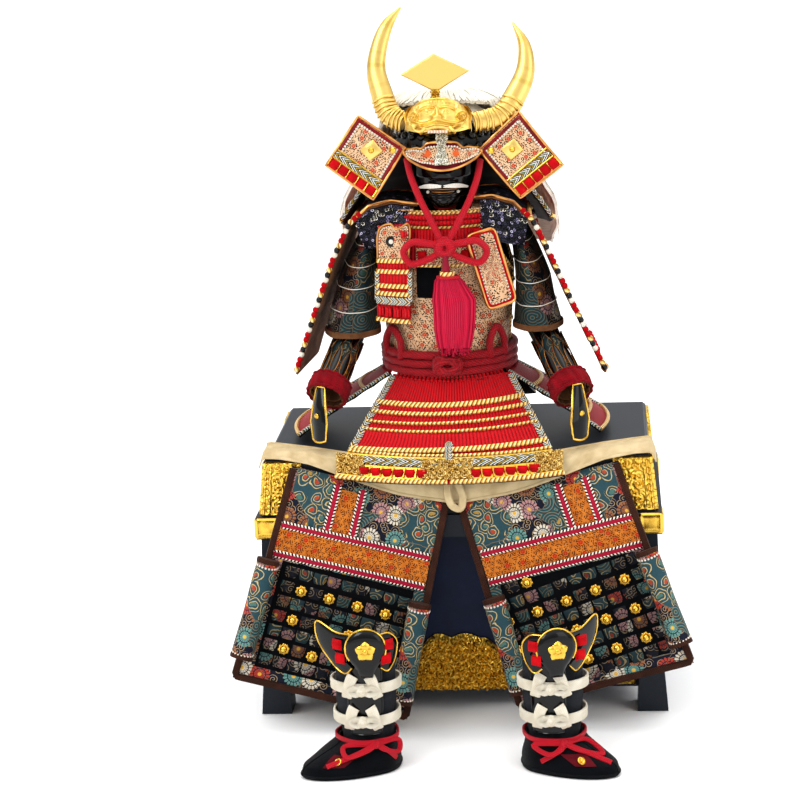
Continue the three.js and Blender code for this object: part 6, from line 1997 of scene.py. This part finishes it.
def forearm(hand, end):
    stock = Stock()
    rows = net(lambda u, v: arm_point(hand, u, 0.99 * v, lerp(14, 15.5, v) + 0.5 * sin(12 * v + 9 * u)), 40,
        24)[:, :-1]
    heart = rows.mean(axis=1, keepdims=True)
    stock.slab(rows, 1.8, heart - rows, 0, 1, closed=True)
    made = stock.piece(f"forearm_brocade_{end}", ["dark brocade", "lining"], (f"sleeve_lower_{end}",))
    splints = Stock()
    for middle, first in ((0.5, 0.1), (0.61, 0.15), (0.39, 0.15), (0.27, 0.3), (0.73, 0.3)):
        def point(u, v, out=0.0):
            s = 2 * u - 1
            shape = sin(pi * min(1, 0.16 + 0.84 * min(v, 1 - v) * 2.2)) ** 0.5 if v not in (0, 1) else 0.5
            return arm_point(hand, middle + 0.038 * s * shape, lerp(first, 0.82, v), 16.4 + out + 0.9
                * (1 - s * s))

        face = net(point, 6, 20)
        splints.slab(face, 1.2, (at(*FOREARMS[hand][0]) + at(*FOREARMS[hand][1])) / 2 - face)
        loop = np.concatenate([face[:, 0], face[-1, 1:], face[::-1, -1][1:], face[0, ::-1][1:-1]])
        splints.sweep(loop, disc(0.5, 6), finish=1, closed=True)
    splints.piece(f"forearm_splints_{end}", ["lacquer", "bronze"])


def cuff(hand, end):
    stock = Stock()

    def point(u, v, out=0.0):
        pleat = 0.8 * sin(14 * 2 * pi * u + 3 * v)
        return arm_point(hand, u, lerp(0.84, 1.04, v), 20.5 + 1.5 * sin(pi * v) + pleat + out)

    rows = net(point, 84, 10)[:, :-1]
    heart = rows.mean(axis=1, keepdims=True)
    stock.slab(rows, 3.4, heart - rows, 0, 1, closed=True)
    for place, kind in ((0.06, 0), (0.97, 0)):
        ring = np.array([point(u / 60, place, -0.4) for u in range(60)])
        stock.sweep(ring, disc(1.6, 8), unit(at(*FOREARMS[hand][1]) - at(*FOREARMS[hand][0])), kind,
            closed=True)
    made = stock.piece(f"cuff_padded_{end}", ["cuff", "lining"], (f"cuff_{end}",))


def hand_plate(hand, end):
    wrist = at(*FOREARMS[hand][1])

    def point(u, v, out=0.0):
        s = 2 * u - 1
        aside, y, rise, half = row_at(HAND_PLATE, v)
        return at(wrist[0] + hand * (aside + 0.75 * half * s - 2 * s * s), y + 0.65 * half * s + 2 * s * s,
            wrist[2] + rise + 3 * s * s * (v - 0.3)) + at(0.6 * hand, -0.8, 0) * out

    stock = Stock()
    face = net(point, 16, 20)
    stock.slab(face, 1.6, at(-hand * 0.6, 0.8, 0), 0, 1)
    loop = np.concatenate([face[:, 0], face[-1, 1:], face[::-1, -1][1:], face[0, ::-1][1:-1]])
    stock.sweep(loop, disc(1.2, 8), at(0.6 * hand, -0.8, 0), 2, closed=True)
    stock.turned([(point(0.5, 0.45, 0.2), at(0.6 * hand, -0.8, 0))], [(3, 0), (3, 0.9), (1.6, 1.9),
        (0.05, 2.2)], 10, 2)
    stock.piece(f"hand_plate_lacquer_{end}", ["lacquer", "lining", "gilt"], (f"hand_plate_{end}",))


def build_arms():
    for hand, end in SIDES:
        sleeve(hand, end)
        forearm(hand, end)
        cuff(hand, end)
        hand_plate(hand, end)


# ---- Operators, panel and order of work ----

class Step:
    """What every operator of the armour does."""

    def execute(self, context):
        self.build()
        return {"FINISHED"}


class ARMOUR_OT_stage(Step, bpy.types.Operator):
    """Set the pale floor, the soft lights and the camera"""
    bl_idname, bl_label, build = "armour.stage", "Stage", staticmethod(build_stage)


class ARMOUR_OT_chest(Step, bpy.types.Operator):
    """Finish the armour chest: lacquer, gilt corner panels, ledge corners and the chased apron"""
    bl_idname, bl_label, build = "armour.chest", "Armour chest", staticmethod(build_chest)


class ARMOUR_OT_thigh_guards(Step, bpy.types.Operator):
    """Sew the brocade thigh guards with their leather bands, studded plates and rolled edges"""
    bl_idname, bl_label, build = "armour.thigh_guards", "Thigh guards", staticmethod(build_thigh_guards)


class ARMOUR_OT_sash(Step, bpy.types.Operator):
    """Drape the cream cotton sash over the chest's front edge"""
    bl_idname, bl_label, build = "armour.sash", "Sash", staticmethod(build_sash)


class ARMOUR_OT_legs(Step, bpy.types.Operator):
    """Build the shin guards with their cotton ties and the lacquered knee plates"""
    bl_idname, bl_label, build = "armour.legs", "Legs", staticmethod(build_legs)


class ARMOUR_OT_boots(Step, bpy.types.Operator):
    """Sew the velvet boots with their seams, tongues and red cords"""
    bl_idname, bl_label, build = "armour.boots", "Boots", staticmethod(build_boots)


class ARMOUR_OT_cuirass(Step, bpy.types.Operator):
    """Cover the cuirass in printed leather and hang its laced plates"""
    bl_idname, bl_label, build = "armour.cuirass", "Cuirass", staticmethod(build_cuirass)


class ARMOUR_OT_skirts(Step, bpy.types.Operator):
    """Lace the front, back and side skirts"""
    bl_idname, bl_label, build = "armour.skirts", "Skirts", staticmethod(build_skirts)


class ARMOUR_OT_helmet(Step, bpy.types.Operator):
    """Build the helmet: bowl, neck guard, visor, turned-back wings, horns, lion and crest plate"""
    bl_idname, bl_label, build = "armour.helmet", "Helmet", staticmethod(build_helmet)


class ARMOUR_OT_hair(Step, bpy.types.Operator):
    """Lay the white hair over the helmet, lock by lock"""
    bl_idname, bl_label, build = "armour.hair", "Hair", staticmethod(build_hair)


class ARMOUR_OT_mask(Step, bpy.types.Operator):
    """Shape the plain lacquered half mask and its moustache"""
    bl_idname, bl_label, build = "armour.mask", "Mask", staticmethod(build_mask)


class ARMOUR_OT_cords(Step, bpy.types.Operator):
    """Tie the chin cord in its bow, hang the tassel and wind the waist rope"""
    bl_idname, bl_label, build = "armour.cords", "Cords", staticmethod(build_cords)


class ARMOUR_OT_shoulders(Step, bpy.types.Operator):
    """Hang the laced shoulder guards and the mail beneath them"""
    bl_idname, bl_label, build = "armour.shoulders", "Shoulders", staticmethod(build_shoulders)


class ARMOUR_OT_arms(Step, bpy.types.Operator):
    """Sew the sleeves and cuffs and fix the splints and hand plates"""
    bl_idname, bl_label, build = "armour.arms", "Arms", staticmethod(build_arms)


STEPS = (ARMOUR_OT_stage, ARMOUR_OT_chest, ARMOUR_OT_thigh_guards, ARMOUR_OT_sash, ARMOUR_OT_legs,
    ARMOUR_OT_boots, ARMOUR_OT_cuirass, ARMOUR_OT_skirts, ARMOUR_OT_helmet, ARMOUR_OT_hair, ARMOUR_OT_mask,
    ARMOUR_OT_cords, ARMOUR_OT_shoulders, ARMOUR_OT_arms)


class ARMOUR_PT_sidebar(bpy.types.Panel):
    """Sizes, colours and the steps of the armour"""
    bl_label = "Samurai armour"
    bl_idname = "ARMOUR_PT_sidebar"
    bl_space_type = "VIEW_3D"
    bl_region_type = "UI"
    bl_category = "Armour"

    def draw(self, context):
        for group in (context.scene.armour_sizes, context.scene.armour_colours):
            box = self.layout.box()
            for name in group.__annotations__:
                box.prop(group, name)
        for step in STEPS:
            self.layout.operator(step.bl_idname)


CLASSES = (ArmourSizes, ArmourColours) + STEPS + (ARMOUR_PT_sidebar,)


def register():
    for kind in CLASSES:
        bpy.utils.register_class(kind)
    bpy.types.Scene.armour_sizes = bpy.props.PointerProperty(type=ArmourSizes)
    bpy.types.Scene.armour_colours = bpy.props.PointerProperty(type=ArmourColours)


def unregister():
    del bpy.types.Scene.armour_colours
    del bpy.types.Scene.armour_sizes
    for kind in reversed(CLASSES):
        bpy.utils.unregister_class(kind)


def main():
    register()
    for step in STEPS:
        group, name = step.bl_idname.split(".")
        getattr(getattr(bpy.ops, group), name)()


if __name__ == "__main__":
    main()
